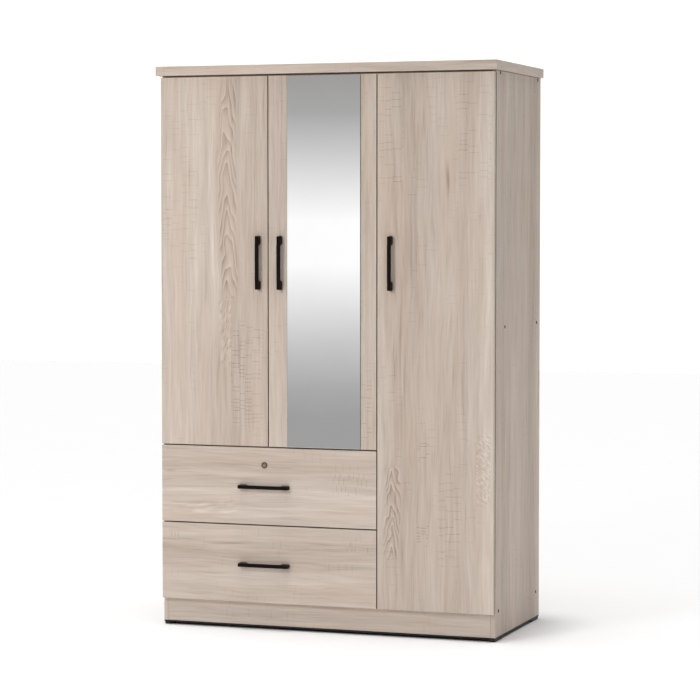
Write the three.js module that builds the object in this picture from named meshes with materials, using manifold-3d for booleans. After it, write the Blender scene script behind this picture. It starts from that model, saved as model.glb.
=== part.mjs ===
// A three-door wardrobe with a mirror door and two drawers, in oak-effect melamine board.
// Millimetres, +Z up, front towards -Y. The origin is on the floor, in the middle of the plan.
import * as THREE from 'three';
import { mergeVertices } from 'three/addons/utils/BufferGeometryUtils.js';
import Module from 'manifold-3d';

const wasm = await Module();
wasm.setup();

// ---- Driving dimensions ----------------------------------------------------------------------

const BOARD = 16; // carcass, door and drawer-front board
const GLUE = 0.25; // gap left in a butt joint or under a seated piece
const CARCASS_WIDTH = 1145;
const CARCASS_DEPTH = 520;
const PANEL_HEIGHT = 1800; // side panels, from the edge strip to the top board
const GLIDE_HEIGHT = 8;
const STRIP_HEIGHT = 5;
const TOP_THICKNESS = 30;
const TOP_SIDE_OVERHANG = 10;
const TOP_FRONT_OVERHANG = 34; // past the carcass front, so past the doors too
const PLINTH_HEIGHT = 75;
const BACK_PANEL_THICKNESS = 3;
const DOOR_STANDOFF = 3; // air between a closed door and the carcass
const FRONT_GAP = 3.5; // between two doors side by side
const FRONT_GAP_HIGH = 4; // between a door and a drawer, or two drawers
const FRONT_SIDE_INSET = 2; // door edge inside the carcass's outer face
const DOOR_TOP_GAP = 6;
const DOOR_BOTTOM_RISE = 77; // above the side panels' lower ends
const LEFT_DOOR_WIDTH = 376;
const MIRROR_DOOR_WIDTH = 370;
const DRAWER_ZONE_TOP = 588; // middle of the door-to-drawer gap, above the panels' lower ends
const DRAWER_SPLIT = 332; // middle of the drawer-to-drawer gap, above the panels' lower ends

// Handles: a bow with a flat bar and two solid feet
const HANDLE_LENGTH = 174;
const HANDLE_WIDTH = 12;
const HANDLE_BAR = 8;
const HANDLE_PROJECTION = 22;
const HANDLE_FOOT = 30;
const HANDLE_CORNER = 3; // rounding of the bow's outer corners
const HANDLE_INSETS = { left: 31, mirror: 41, right: 45 }; // from the door's free edge to the bar
const DRAWER_HANDLE_OFFSET = 11; // left of the drawer front's middle
const HANDLE_DROP = 3; // below the middle of its front
const OVERCUT = 1; // how far a cutting solid runs past the face it cuts

// Mirror
const MIRROR_WIDTH = 250;
const MIRROR_THICKNESS = 3;
const MIRROR_LEFT_STILE = 66; // board left bare beside the glass
const MIRROR_END_MARGIN = 1; // board left bare above and below the glass

// Concealed hinges, drawn as one pin each
const HINGES_PER_DOOR = 3;
const HINGE_END_INSET = 110; // hinge centre from the door's end
const CUP_RADIUS = 17.5;
const CUP_WALL = 1.1;
const CUP_DEPTH = 12.8;
const CUP_FLOOR = 0.8;
const CUP_EDGE_MARGIN = 3; // board left between the cup hole and the door's edge
const CUP_CLEARANCE = 0.2;
const FLANGE_THICKNESS = 1;
const FLANGE_HEIGHT = 56;
const FLANGE_WIDTH = 22;
const PIN_EDGE_DISTANCE = 7; // pin axis from the door's hinge edge
const PIN_DEPTH = 9.5; // pin axis from the door's back face
const PIN_RADIUS = 1.1;
const KNUCKLE_CLEARANCE = 0.3;
const KNUCKLE_RADIUS = 2.3;
const HOOK_WIDTH = 5;
const HOOK_FRONT_INSET = 0.1; // the hook's faces stay inside the knuckle's rim
const HOOK_BACK_INSET = 1;
const PLATE_THICKNESS = 2;
const NECK_REACH = 12.5; // from the pin to the near face of the arm
const ARM_THICKNESS = 4;
const ARM_WIDTH = 14;
const ARM_SETBACK = 4; // wide part of the arm, behind the carcass front
const ARM_LENGTH = 58;
const PLATE_LENGTH = 36;
const PLATE_WIDTH = 44;
const PLATE_SETBACK = 20;

// Drawers
const RUNNER_HEIGHT = 17;
const RUNNER_THICKNESS = 10;
const RUNNER_LENGTH = 420;
const RUNNER_SETBACK = 25;
const RUNNER_RISE = 80; // runner's middle above the drawer box's underside
const DRAWER_SIDE_GAP = 5;
const DRAWER_SIDE = 12;
const GROOVE_DEPTH = 6.5;
const GROOVE_CLEARANCE = 0.75;
const DRAWER_BOX_HEIGHT = 160;
const DRAWER_BOX_LENGTH = 450;
const DRAWER_BOX_RISE = 26; // box underside above the front's lower edge
const DRAWER_BOTTOM_THICKNESS = 3;
const DRAWER_BOTTOM_RISE = 10;
const DRAWER_BOTTOM_TONGUE = 5; // how far the bottom runs into the side's groove

// Cam lock
const LOCK_DROP = 57; // below the upper drawer front's top edge
const LOCK_RADIUS = 8.5;
const LOCK_FLANGE_RADIUS = 10;
const LOCK_FLANGE = 2;
const LOCK_BEHIND = 6; // housing length behind the drawer front
const LOCK_PLUG_RADIUS = 5.5;
const LOCK_CLEARANCE = 0.25;
const CAM_GAP = 1; // between the lock housing's back end and the cam
const CAM_LENGTH = 54;
const CAM_WIDTH = 12;
const CAM_THICKNESS = 2.5;
const CAM_SLOT_CLEARANCE = 3;

// Inside
const SHELF_SETBACK = 18;
const MID_SHELF_SETBACK = 62;
const MID_SHELF_HEIGHT = 987; // middle of the fixed shelf, above the panels' lower ends
const LOWER_SHELF_HEIGHT = 530;
const UPPER_SHELF_HEIGHT = 1390;
const SHELF_CLEARANCE = 1;
const BACK_PLINTH_SETBACK = 40;
const RAIL_RADIUS = 12.5;
const RAIL_WALL = 1.2;
const RAIL_DROP = 55; // below the sub-top panel
const SOCKET_RADIUS = 21;
const SOCKET_BASE = 3;
const SOCKET_DEPTH = 13;
const SOCKET_WALL = 2;
const RAIL_CLEARANCE = 0.5;

// Feet
const GLIDE_LENGTH = 82;
const GLIDE_WIDTH = 24;
const GLIDE_INSET = 1; // from the panel's outer face and ends
const GLIDE_CORNER = 6;

const ROUND_STEPS = 32;
const SMALL_ROUND_STEPS = 20;

// ---- Derived places --------------------------------------------------------------------------

const LIFT = GLIDE_HEIGHT + STRIP_HEIGHT; // underside of the side panels
const FRONT_PROJECTION = DOOR_STANDOFF + BOARD + GLUE + HANDLE_PROJECTION;
const FRONT_Y = -(CARCASS_DEPTH + FRONT_PROJECTION) / 2 + FRONT_PROJECTION; // carcass front
const BACK_Y = FRONT_Y + CARCASS_DEPTH;
const DOOR_BACK_Y = FRONT_Y - DOOR_STANDOFF;
const DOOR_FRONT_Y = DOOR_BACK_Y - BOARD;
const OUTER_X = CARCASS_WIDTH / 2;
const INNER_X = OUTER_X - BOARD;
const PANEL_TOP = LIFT + PANEL_HEIGHT;
const FRONTS_LEFT = -OUTER_X + FRONT_SIDE_INSET;
const FRONTS_RIGHT = OUTER_X - FRONT_SIDE_INSET;
const LEFT_DOOR_X = [FRONTS_LEFT, FRONTS_LEFT + LEFT_DOOR_WIDTH];
const MIRROR_DOOR_X = [LEFT_DOOR_X[1] + FRONT_GAP, LEFT_DOOR_X[1] + FRONT_GAP + MIRROR_DOOR_WIDTH];
const RIGHT_DOOR_X = [MIRROR_DOOR_X[1] + FRONT_GAP, FRONTS_RIGHT];
const PARTITION_MIDDLE = (MIRROR_DOOR_X[1] + RIGHT_DOOR_X[0]) / 2;
const PARTITION_X = [PARTITION_MIDDLE - BOARD / 2, PARTITION_MIDDLE + BOARD / 2];
const FRONTS_BOTTOM = LIFT + DOOR_BOTTOM_RISE;
const DOOR_TOP = PANEL_TOP - DOOR_TOP_GAP;
const DRAWER_TOP_Z = LIFT + DRAWER_ZONE_TOP;
const DRAWER_SPLIT_Z = LIFT + DRAWER_SPLIT;
const SHORT_DOOR_BOTTOM = DRAWER_TOP_Z + FRONT_GAP_HIGH / 2;
const INNER_BACK_Y = BACK_Y - BACK_PANEL_THICKNESS - GLUE;
const FLOOR_PANEL_Z = [LIFT + PLINTH_HEIGHT + GLUE, LIFT + PLINTH_HEIGHT + GLUE + BOARD];
const SUB_TOP_Z = [PANEL_TOP - BOARD, PANEL_TOP];
const BAY_SHELF_Z = [DRAWER_TOP_Z - BOARD / 2, DRAWER_TOP_Z + BOARD / 2];
const LEFT_BAY_X = [-INNER_X, PARTITION_X[0]];
const RIGHT_BAY_X = [PARTITION_X[1], INNER_X];
const DRAWER_FRONT_X = [FRONTS_LEFT, MIRROR_DOOR_X[1]];
const DRAWER_HANDLE_X = (DRAWER_FRONT_X[0] + DRAWER_FRONT_X[1]) / 2 - DRAWER_HANDLE_OFFSET;
const LOWER_FRONT_Z = [FRONTS_BOTTOM, DRAWER_SPLIT_Z - FRONT_GAP_HIGH / 2];
const UPPER_FRONT_Z = [DRAWER_SPLIT_Z + FRONT_GAP_HIGH / 2, DRAWER_TOP_Z - FRONT_GAP_HIGH / 2];
const LOCK_Z = UPPER_FRONT_Z[1] - LOCK_DROP;
const CAM_FRONT_Y = DOOR_BACK_Y + LOCK_BEHIND + CAM_GAP;
const CAM_Y = [CAM_FRONT_Y, CAM_FRONT_Y + CAM_THICKNESS];
const HANDLE_Z = (SHORT_DOOR_BOTTOM + DOOR_TOP) / 2 - HANDLE_DROP;

// ---- Materials -------------------------------------------------------------------------------

const FINISHES = {
  oak: { color: '#c9b9ab', roughness: 0.6, metalness: 0 },
  hardboard: { color: '#d8cdc0', roughness: 0.8, metalness: 0 },
  wrap: { color: '#d9cfc4', roughness: 0.6, metalness: 0 },
  black: { color: '#17120f', roughness: 0.5, metalness: 0 },
  mirror: { color: '#e6e8e8', roughness: 0.03, metalness: 1 },
  steel: { color: '#b9bbbd', roughness: 0.35, metalness: 1 },
  chrome: { color: '#d2d4d6', roughness: 0.15, metalness: 1 },
  plastic: { color: '#e4e2de', roughness: 0.5, metalness: 0 },
};

const wardrobe = new THREE.Group();

function add(parent, name, finish, geometry) {
  const mesh = new THREE.Mesh(geometry, new THREE.MeshStandardMaterial(FINISHES[finish]));
  mesh.name = name;
  parent.add(mesh);
  return mesh;
}

// ---- Shapes ----------------------------------------------------------------------------------

// A box between low and high limits on each axis.
function box(x, y, z) {
  const geometry = new THREE.BoxGeometry(x[1] - x[0], y[1] - y[0], z[1] - z[0]);
  geometry.translate((x[0] + x[1]) / 2, (y[0] + y[1]) / 2, (z[0] + z[1]) / 2);
  return geometry;
}

// A disc or bar of round section along Y between two depths.
function roundAlongY(radius, x, y, z, steps = ROUND_STEPS) {
  const geometry = new THREE.CylinderGeometry(radius, radius, y[1] - y[0], steps);
  geometry.translate(x, (y[0] + y[1]) / 2, z);
  return geometry;
}

// A bar of round section along Z between two heights.
function roundAlongZ(radius, x, y, z, steps = SMALL_ROUND_STEPS) {
  const geometry = new THREE.CylinderGeometry(radius, radius, z[1] - z[0], steps);
  geometry.rotateX(Math.PI / 2);
  geometry.translate(x, y, (z[0] + z[1]) / 2);
  return geometry;
}

// A flat outline drawn in X and Y, raised between two heights.
function slab(outline, z, curveSegments = 6) {
  const settings = { depth: z[1] - z[0], bevelEnabled: false, curveSegments };
  const geometry = new THREE.ExtrudeGeometry(outline, settings);
  geometry.translate(0, 0, z[0]);
  return geometry;
}

function solid(geometry) {
  const bare = geometry.clone();
  bare.deleteAttribute('normal');
  bare.deleteAttribute('uv');
  const merged = mergeVertices(bare, 1e-4);
  return new wasm.Manifold(new wasm.Mesh({
    numProp: 3,
    vertProperties: new Float32Array(merged.attributes.position.array),
    triVerts: new Uint32Array(merged.index.array),
  }));
}

function surface(manifold) {
  const mesh = manifold.getMesh();
  const geometry = new THREE.BufferGeometry();
  geometry.setAttribute('position', new THREE.BufferAttribute(mesh.vertProperties, 3));
  geometry.setIndex(new THREE.BufferAttribute(mesh.triVerts, 1));
  geometry.computeVertexNormals();
  return geometry;
}

function join(...geometries) {
  return surface(geometries.map(solid).reduce((whole, part) => whole.add(part)));
}

function cut(geometry, ...tools) {
  return surface(tools.map(solid).reduce((left, tool) => left.subtract(tool), solid(geometry)));
}

// ---- Carcass ---------------------------------------------------------------------------------

function buildCarcass(parent) {
  const depth = [FRONT_Y, BACK_Y];
  const innerDepth = [FRONT_Y, INNER_BACK_Y];
  const panelZ = [LIFT + GLUE, PANEL_TOP - GLUE];
  const betweenSides = [-INNER_X + GLUE, INNER_X - GLUE];
  const upright = [FLOOR_PANEL_Z[1] + GLUE, SUB_TOP_Z[0] - GLUE];
  add(parent, 'side_panel_left', 'oak', box([-OUTER_X, -INNER_X], depth, panelZ));
  add(parent, 'side_panel_right', 'oak', box([INNER_X, OUTER_X], depth, panelZ));
  add(parent, 'bottom_panel', 'oak', box(betweenSides, innerDepth, FLOOR_PANEL_Z));
  const subTop = [SUB_TOP_Z[0], SUB_TOP_Z[1] - GLUE];
  add(parent, 'sub_top_panel', 'oak', box(betweenSides, innerDepth, subTop));
  add(parent, 'partition_panel', 'oak', box(PARTITION_X, innerDepth, upright));
  add(parent, 'top_board', 'oak', box(
    [-OUTER_X - TOP_SIDE_OVERHANG, OUTER_X + TOP_SIDE_OVERHANG],
    [FRONT_Y - TOP_FRONT_OVERHANG, BACK_Y],
    [PANEL_TOP, PANEL_TOP + TOP_THICKNESS],
  ));
  const plinthZ = [LIFT + GLUE, LIFT + PLINTH_HEIGHT];
  add(parent, 'plinth_front', 'oak', box(betweenSides, [FRONT_Y, FRONT_Y + BOARD], plinthZ));
  const backPlinthY = BACK_Y - BACK_PLINTH_SETBACK;
  add(parent, 'plinth_back', 'oak', box(betweenSides, [backPlinthY - BOARD, backPlinthY], plinthZ));
  add(parent, 'back_panel', 'hardboard', box(
    betweenSides,
    [BACK_Y - BACK_PANEL_THICKNESS, BACK_Y],
    [FLOOR_PANEL_Z[0], PANEL_TOP - GLUE],
  ));
}

// The slot that the cam swings up into: as wide as the arc of its tip at the shelf's underside.
function camSlot() {
  const rise = BAY_SHELF_Z[0] - LOCK_Z;
  const tipRadius = Math.hypot(CAM_LENGTH, CAM_WIDTH / 2);
  const sweep = Math.sqrt(tipRadius ** 2 - rise ** 2);
  return box(
    [DRAWER_HANDLE_X - CAM_WIDTH / 2 - CAM_SLOT_CLEARANCE, DRAWER_HANDLE_X + sweep + CAM_SLOT_CLEARANCE],
    [CAM_Y[0] - CAM_SLOT_CLEARANCE, CAM_Y[1] + CAM_SLOT_CLEARANCE],
    [BAY_SHELF_Z[0] - OVERCUT, LOCK_Z + tipRadius + CAM_SLOT_CLEARANCE],
  );
}

function buildShelves(parent) {
  const fixedX = [LEFT_BAY_X[0] + GLUE, LEFT_BAY_X[1] - GLUE];
  const bayShelf = box(fixedX, [FRONT_Y, INNER_BACK_Y], BAY_SHELF_Z);
  add(parent, 'drawer_bay_shelf', 'oak', cut(bayShelf, camSlot()));
  const shelves = [
    ['mid_shelf', MID_SHELF_HEIGHT, MID_SHELF_SETBACK, GLUE],
    ['lower_shelf', LOWER_SHELF_HEIGHT, SHELF_SETBACK, SHELF_CLEARANCE],
    ['upper_shelf', UPPER_SHELF_HEIGHT, SHELF_SETBACK, SHELF_CLEARANCE],
  ];
  for (const [name, height, setback, clearance] of shelves) {
    const middle = LIFT + height;
    add(parent, name, 'oak', box(
      [RIGHT_BAY_X[0] + clearance, RIGHT_BAY_X[1] - clearance],
      [FRONT_Y + setback, INNER_BACK_Y - clearance],
      [middle - BOARD / 2, middle + BOARD / 2],
    ));
  }
}

// A round rail across the left bay, held in a flanged socket at each end.
function buildRail(parent) {
  const railY = (FRONT_Y + INNER_BACK_Y) / 2;
  const railZ = SUB_TOP_Z[0] - RAIL_DROP;
  const seat = SOCKET_BASE + RAIL_CLEARANCE;
  const length = LEFT_BAY_X[1] - LEFT_BAY_X[0] - 2 * (GLUE + seat);
  const bore = RAIL_RADIUS - RAIL_WALL;
  const tube = new THREE.LatheGeometry([
    new THREE.Vector2(bore, 0),
    new THREE.Vector2(RAIL_RADIUS, 0),
    new THREE.Vector2(RAIL_RADIUS, length),
    new THREE.Vector2(bore, length),
    new THREE.Vector2(bore, 0),
  ], ROUND_STEPS);
  tube.rotateZ(-Math.PI / 2);
  tube.translate(LEFT_BAY_X[0] + GLUE + seat, railY, railZ);
  add(parent, 'hanging_rail', 'chrome', tube);

  const collarInner = RAIL_RADIUS + RAIL_CLEARANCE;
  const collarOuter = collarInner + SOCKET_WALL;
  for (const side of [1, -1]) {
    const socket = new THREE.LatheGeometry([
      new THREE.Vector2(0, 0),
      new THREE.Vector2(SOCKET_RADIUS, 0),
      new THREE.Vector2(SOCKET_RADIUS, SOCKET_BASE),
      new THREE.Vector2(collarOuter, SOCKET_BASE),
      new THREE.Vector2(collarOuter, SOCKET_DEPTH),
      new THREE.Vector2(collarInner, SOCKET_DEPTH),
      new THREE.Vector2(collarInner, SOCKET_BASE),
      new THREE.Vector2(0, SOCKET_BASE),
    ], ROUND_STEPS);
    socket.rotateZ(-side * Math.PI / 2);
    const wall = side > 0 ? LEFT_BAY_X[0] + GLUE : LEFT_BAY_X[1] - GLUE;
    socket.translate(wall, railY, railZ);
    add(parent, side > 0 ? 'rail_socket_left' : 'rail_socket_right', 'chrome', socket);
  }
}

// A black strip under the side panels and the front plinth, and four skid glides under it.
function buildBase(parent) {
  const strip = new THREE.Shape([
    new THREE.Vector2(-OUTER_X, FRONT_Y),
    new THREE.Vector2(OUTER_X, FRONT_Y),
    new THREE.Vector2(OUTER_X, BACK_Y),
    new THREE.Vector2(INNER_X, BACK_Y),
    new THREE.Vector2(INNER_X, FRONT_Y + BOARD),
    new THREE.Vector2(-INNER_X, FRONT_Y + BOARD),
    new THREE.Vector2(-INNER_X, BACK_Y),
    new THREE.Vector2(-OUTER_X, BACK_Y),
  ]);
  add(parent, 'base_edge_strip', 'black', slab(strip, [GLIDE_HEIGHT, LIFT]));
  const places = [
    ['glide_front_left', -1, FRONT_Y + GLIDE_INSET],
    ['glide_front_right', 1, FRONT_Y + GLIDE_INSET],
    ['glide_back_left', -1, BACK_Y - GLIDE_INSET - GLIDE_LENGTH],
    ['glide_back_right', 1, BACK_Y - GLIDE_INSET - GLIDE_LENGTH],
  ];
  for (const [name, side, startY] of places) {
    const outer = side * (OUTER_X - GLIDE_INSET);
    const low = Math.min(outer, outer - side * GLIDE_WIDTH);
    add(parent, name, 'black', glide([low, low + GLIDE_WIDTH], [startY, startY + GLIDE_LENGTH]));
  }
}

// A skid: a rectangle with rounded corners.
function glide(x, y) {
  const r = GLIDE_CORNER;
  const outline = new THREE.Shape();
  outline.moveTo(x[0] + r, y[0]);
  outline.lineTo(x[1] - r, y[0]);
  outline.absarc(x[1] - r, y[0] + r, r, -Math.PI / 2, 0);
  outline.lineTo(x[1], y[1] - r);
  outline.absarc(x[1] - r, y[1] - r, r, 0, Math.PI / 2);
  outline.lineTo(x[0] + r, y[1]);
  outline.absarc(x[0] + r, y[1] - r, r, Math.PI / 2, Math.PI);
  outline.lineTo(x[0], y[0] + r);
  outline.absarc(x[0] + r, y[0] + r, r, Math.PI, 1.5 * Math.PI);
  return slab(outline, [0, GLIDE_HEIGHT - GLUE]);
}

// ---- Handles ---------------------------------------------------------------------------------

// A bow handle standing on the plane Y = 0 and running along X, with its bar towards -Y.
function handleShape() {
  const half = HANDLE_LENGTH / 2;
  const inside = half - HANDLE_FOOT;
  const r = HANDLE_CORNER;
  const outline = new THREE.Shape();
  outline.moveTo(-half, 0);
  outline.lineTo(-half, -HANDLE_PROJECTION + r);
  outline.absarc(-half + r, -HANDLE_PROJECTION + r, r, Math.PI, 1.5 * Math.PI);
  outline.lineTo(half - r, -HANDLE_PROJECTION);
  outline.absarc(half - r, -HANDLE_PROJECTION + r, r, 1.5 * Math.PI, 2 * Math.PI);
  outline.lineTo(half, 0);
  outline.lineTo(inside, 0);
  outline.lineTo(inside, -HANDLE_PROJECTION + HANDLE_BAR + r);
  outline.absarc(inside - r, -HANDLE_PROJECTION + HANDLE_BAR + r, r, 0, -Math.PI / 2, true);
  outline.lineTo(-inside + r, -HANDLE_PROJECTION + HANDLE_BAR);
  outline.absarc(-inside + r, -HANDLE_PROJECTION + HANDLE_BAR + r, r, 1.5 * Math.PI, Math.PI, true);
  outline.lineTo(-inside, 0);
  return slab(outline, [-HANDLE_WIDTH / 2, HANDLE_WIDTH / 2], 4);
}

function addHandle(parent, name, x, z, upright) {
  const geometry = handleShape();
  if (upright) {
    geometry.rotateY(Math.PI / 2);
  }
  geometry.translate(x, DOOR_FRONT_Y - GLUE, z);
  add(parent, name, 'black', geometry);
}

// ---- Hinges ----------------------------------------------------------------------------------

function hingeHeights(doorZ) {
  const low = doorZ[0] + HINGE_END_INSET;
  const step = (doorZ[1] - doorZ[0] - 2 * HINGE_END_INSET) / (HINGES_PER_DOOR - 1);
  return Array.from({ length: HINGES_PER_DOOR }, (_, i) => low + i * step);
}

// The cup: a round pot with a flange on the door's back face, and the pin across its mouth.
// side is 1 where the door's hinge edge is its left edge, and -1 where it is its right edge.
function hingeCup(edgeX, side, z) {
  const pinX = edgeX + side * PIN_EDGE_DISTANCE;
  const pinY = DOOR_BACK_Y - PIN_DEPTH;
  const cupX = edgeX + side * (CUP_EDGE_MARGIN + CUP_RADIUS);
  const outer = CUP_RADIUS - CUP_CLEARANCE;
  const inner = outer - CUP_WALL;
  const bottomY = DOOR_BACK_Y - CUP_DEPTH;
  const faceY = DOOR_BACK_Y + GLUE;
  const flangeY = [faceY, faceY + FLANGE_THICKNESS];
  const flangeX = [cupX - FLANGE_WIDTH / 2, cupX + FLANGE_WIDTH / 2];
  const pot = join(
    roundAlongY(outer, cupX, [bottomY, flangeY[1]], z),
    box(flangeX, flangeY, [z - FLANGE_HEIGHT / 2, z + FLANGE_HEIGHT / 2]),
  );
  const hollow = roundAlongY(inner, cupX, [bottomY + CUP_FLOOR, flangeY[1] + OVERCUT], z);
  const reach = Math.sqrt(inner ** 2 - (CUP_EDGE_MARGIN + CUP_RADIUS - PIN_EDGE_DISTANCE) ** 2);
  const pinHalf = reach + CUP_WALL / 2;
  const pin = roundAlongZ(PIN_RADIUS, pinX, pinY, [z - pinHalf, z + pinHalf]);
  return join(cut(pot, hollow), pin);
}

// The arm: a knuckle round the pin, a hook out of the cup, and a bar on a plate on the panel.
// It is drawn with the pin at the origin, the door's middle towards +X and the carcass at +Y.
function hingeArm(panelOffset) {
  const panelFront = PIN_DEPTH + DOOR_STANDOFF;
  const ring = roundAlongZ(KNUCKLE_RADIUS, 0, 0, [-HOOK_WIDTH / 2, HOOK_WIDTH / 2]);
  const armX = [NECK_REACH, NECK_REACH + ARM_THICKNESS];
  const hookY = [-KNUCKLE_RADIUS + HOOK_FRONT_INSET, KNUCKLE_RADIUS - HOOK_BACK_INSET];
  const hookZ = [-HOOK_WIDTH / 2, HOOK_WIDTH / 2];
  const hook = box([0, armX[1]], hookY, hookZ);
  const armEnd = panelFront + ARM_SETBACK + ARM_LENGTH;
  const neck = box(armX, [hookY[0], armEnd], hookZ);
  const arm = box(armX, [panelFront + ARM_SETBACK, armEnd], [-ARM_WIDTH / 2, ARM_WIDTH / 2]);
  const plateY = [panelFront + PLATE_SETBACK, panelFront + PLATE_SETBACK + PLATE_LENGTH];
  const base = panelOffset + GLUE;
  const plateFoot = box([base, base + PLATE_THICKNESS], plateY, [-PLATE_WIDTH / 2, PLATE_WIDTH / 2]);
  const riser = box([base, armX[0] + ARM_THICKNESS / 2], plateY, [-ARM_WIDTH / 2, ARM_WIDTH / 2]);
  const hole = roundAlongZ(PIN_RADIUS + KNUCKLE_CLEARANCE, 0, 0, [-HOOK_WIDTH, HOOK_WIDTH]);
  return cut(join(ring, hook, neck, arm, riser, plateFoot), hole);
}

function addHinges(parent, doorGroup, doorName, doorZ, edgeX, side, panelX) {
  const pinX = edgeX + side * PIN_EDGE_DISTANCE;
  const pinY = DOOR_BACK_Y - PIN_DEPTH;
  const levels = ['low', 'mid', 'high'];
  hingeHeights(doorZ).forEach((z, i) => {
    add(doorGroup, `hinge_cup_${doorName}_${levels[i]}`, 'steel', hingeCup(edgeX, side, z));
    const geometry = hingeArm(side * (panelX - pinX));
    if (side < 0) {
      geometry.rotateZ(Math.PI);
      geometry.scale(1, -1, 1);
      flipFaces(geometry);
    }
    geometry.translate(pinX, pinY, z);
    add(parent, `hinge_arm_${doorName}_${levels[i]}`, 'steel', geometry);
  });
}

// A mirrored shape has its faces turned in, so their order is reversed.
function flipFaces(geometry) {
  const index = geometry.index.array;
  for (let i = 0; i < index.length; i += 3) {
    const first = index[i];
    index[i] = index[i + 1];
    index[i + 1] = first;
  }
  geometry.computeVertexNormals();
}

// ---- Doors -----------------------------------------------------------------------------------

function doorPanel(x, z, edgeX, side) {
  const cupX = edgeX + side * (CUP_EDGE_MARGIN + CUP_RADIUS);
  const cupY = [DOOR_BACK_Y - CUP_DEPTH - CUP_CLEARANCE, DOOR_BACK_Y + OVERCUT];
  const holes = hingeHeights(z).map((height) => roundAlongY(CUP_RADIUS, cupX, cupY, height));
  return cut(box(x, [DOOR_FRONT_Y, DOOR_BACK_Y], z), ...holes);
}

function buildDoors(parent) {
  const shortZ = [SHORT_DOOR_BOTTOM, DOOR_TOP];
  const tallZ = [FRONTS_BOTTOM, DOOR_TOP];
  const doors = [
    { name: 'left', x: LEFT_DOOR_X, z: shortZ, side: 1, panelX: -INNER_X },
    { name: 'mirror', x: MIRROR_DOOR_X, z: shortZ, side: -1, panelX: PARTITION_X[0] },
    { name: 'right', x: RIGHT_DOOR_X, z: tallZ, side: -1, panelX: INNER_X },
  ];
  for (const { name, x, z, side, panelX } of doors) {
    const edgeX = side > 0 ? x[0] : x[1];
    const freeX = side > 0 ? x[1] : x[0];
    const door = new THREE.Group();
    parent.add(door);
    add(door, `door_panel_${name}`, 'oak', doorPanel(x, z, edgeX, side));
    addHandle(door, `handle_${name}`, freeX - side * HANDLE_INSETS[name], HANDLE_Z, true);
    addHinges(parent, door, name, z, edgeX, side, panelX);
    if (name === 'mirror') {
      const left = x[0] + MIRROR_LEFT_STILE;
      add(door, 'mirror_glass', 'mirror', box(
        [left, left + MIRROR_WIDTH],
        [DOOR_FRONT_Y - GLUE - MIRROR_THICKNESS, DOOR_FRONT_Y - GLUE],
        [z[0] + MIRROR_END_MARGIN, z[1] - MIRROR_END_MARGIN],
      ));
    }
  }
}

// ---- Drawers ---------------------------------------------------------------------------------

// The runner battens are fixed to the bay's two walls and fit the grooves in the drawer sides.
function buildRunners(parent, name, boxZ) {
  const y = [FRONT_Y + RUNNER_SETBACK, FRONT_Y + RUNNER_SETBACK + RUNNER_LENGTH];
  const middle = boxZ + RUNNER_RISE;
  const z = [middle - RUNNER_HEIGHT / 2, middle + RUNNER_HEIGHT / 2];
  const left = LEFT_BAY_X[0] + GLUE;
  const right = LEFT_BAY_X[1] - GLUE;
  add(parent, `runner_${name}_left`, 'plastic', box([left, left + RUNNER_THICKNESS], y, z));
  add(parent, `runner_${name}_right`, 'plastic', box([right - RUNNER_THICKNESS, right], y, z));
}

function buildDrawer(parent, name, frontZ, frontGeometry) {
  const drawer = new THREE.Group();
  parent.add(drawer);
  add(drawer, `drawer_front_${name}`, 'oak', frontGeometry);
  const handleZ = (frontZ[0] + frontZ[1]) / 2 - HANDLE_DROP;
  addHandle(drawer, `handle_drawer_${name}`, DRAWER_HANDLE_X, handleZ, false);

  const low = frontZ[0] + DRAWER_BOX_RISE;
  const z = [low, low + DRAWER_BOX_HEIGHT];
  const x = [LEFT_BAY_X[0] + DRAWER_SIDE_GAP, LEFT_BAY_X[1] - DRAWER_SIDE_GAP];
  const y = [DOOR_BACK_Y + GLUE, DOOR_BACK_Y + GLUE + DRAWER_BOX_LENGTH];
  const wrap = new THREE.Shape([
    new THREE.Vector2(x[0], y[0]),
    new THREE.Vector2(x[0] + DRAWER_SIDE, y[0]),
    new THREE.Vector2(x[0] + DRAWER_SIDE, y[1] - DRAWER_SIDE),
    new THREE.Vector2(x[1] - DRAWER_SIDE, y[1] - DRAWER_SIDE),
    new THREE.Vector2(x[1] - DRAWER_SIDE, y[0]),
    new THREE.Vector2(x[1], y[0]),
    new THREE.Vector2(x[1], y[1]),
    new THREE.Vector2(x[0], y[1]),
  ]);
  const middle = low + RUNNER_RISE;
  const grooveHalf = RUNNER_HEIGHT / 2 + GROOVE_CLEARANCE;
  const grooveZ = [middle - grooveHalf, middle + grooveHalf];
  const grooveY = [y[0] - OVERCUT, y[1] + OVERCUT];
  const bottomZ = [low + DRAWER_BOTTOM_RISE, low + DRAWER_BOTTOM_RISE + DRAWER_BOTTOM_THICKNESS];
  const bottomX = [x[0] + DRAWER_SIDE - DRAWER_BOTTOM_TONGUE, x[1] - DRAWER_SIDE + DRAWER_BOTTOM_TONGUE];
  const bottomY = [y[0], y[1] - DRAWER_SIDE + DRAWER_BOTTOM_TONGUE];
  add(drawer, `drawer_wrap_${name}`, 'wrap', cut(
    slab(wrap, z),
    box([x[0] - OVERCUT, x[0] + GROOVE_DEPTH], grooveY, grooveZ),
    box([x[1] - GROOVE_DEPTH, x[1] + OVERCUT], grooveY, grooveZ),
    box(
      [bottomX[0] - GLUE, bottomX[1] + GLUE],
      [bottomY[0] - OVERCUT, bottomY[1] + GLUE],
      [bottomZ[0] - GLUE, bottomZ[1] + GLUE],
    ),
  ));
  add(drawer, `drawer_bottom_${name}`, 'hardboard', box(bottomX, bottomY, bottomZ));
  buildRunners(parent, name, low);
}

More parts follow.
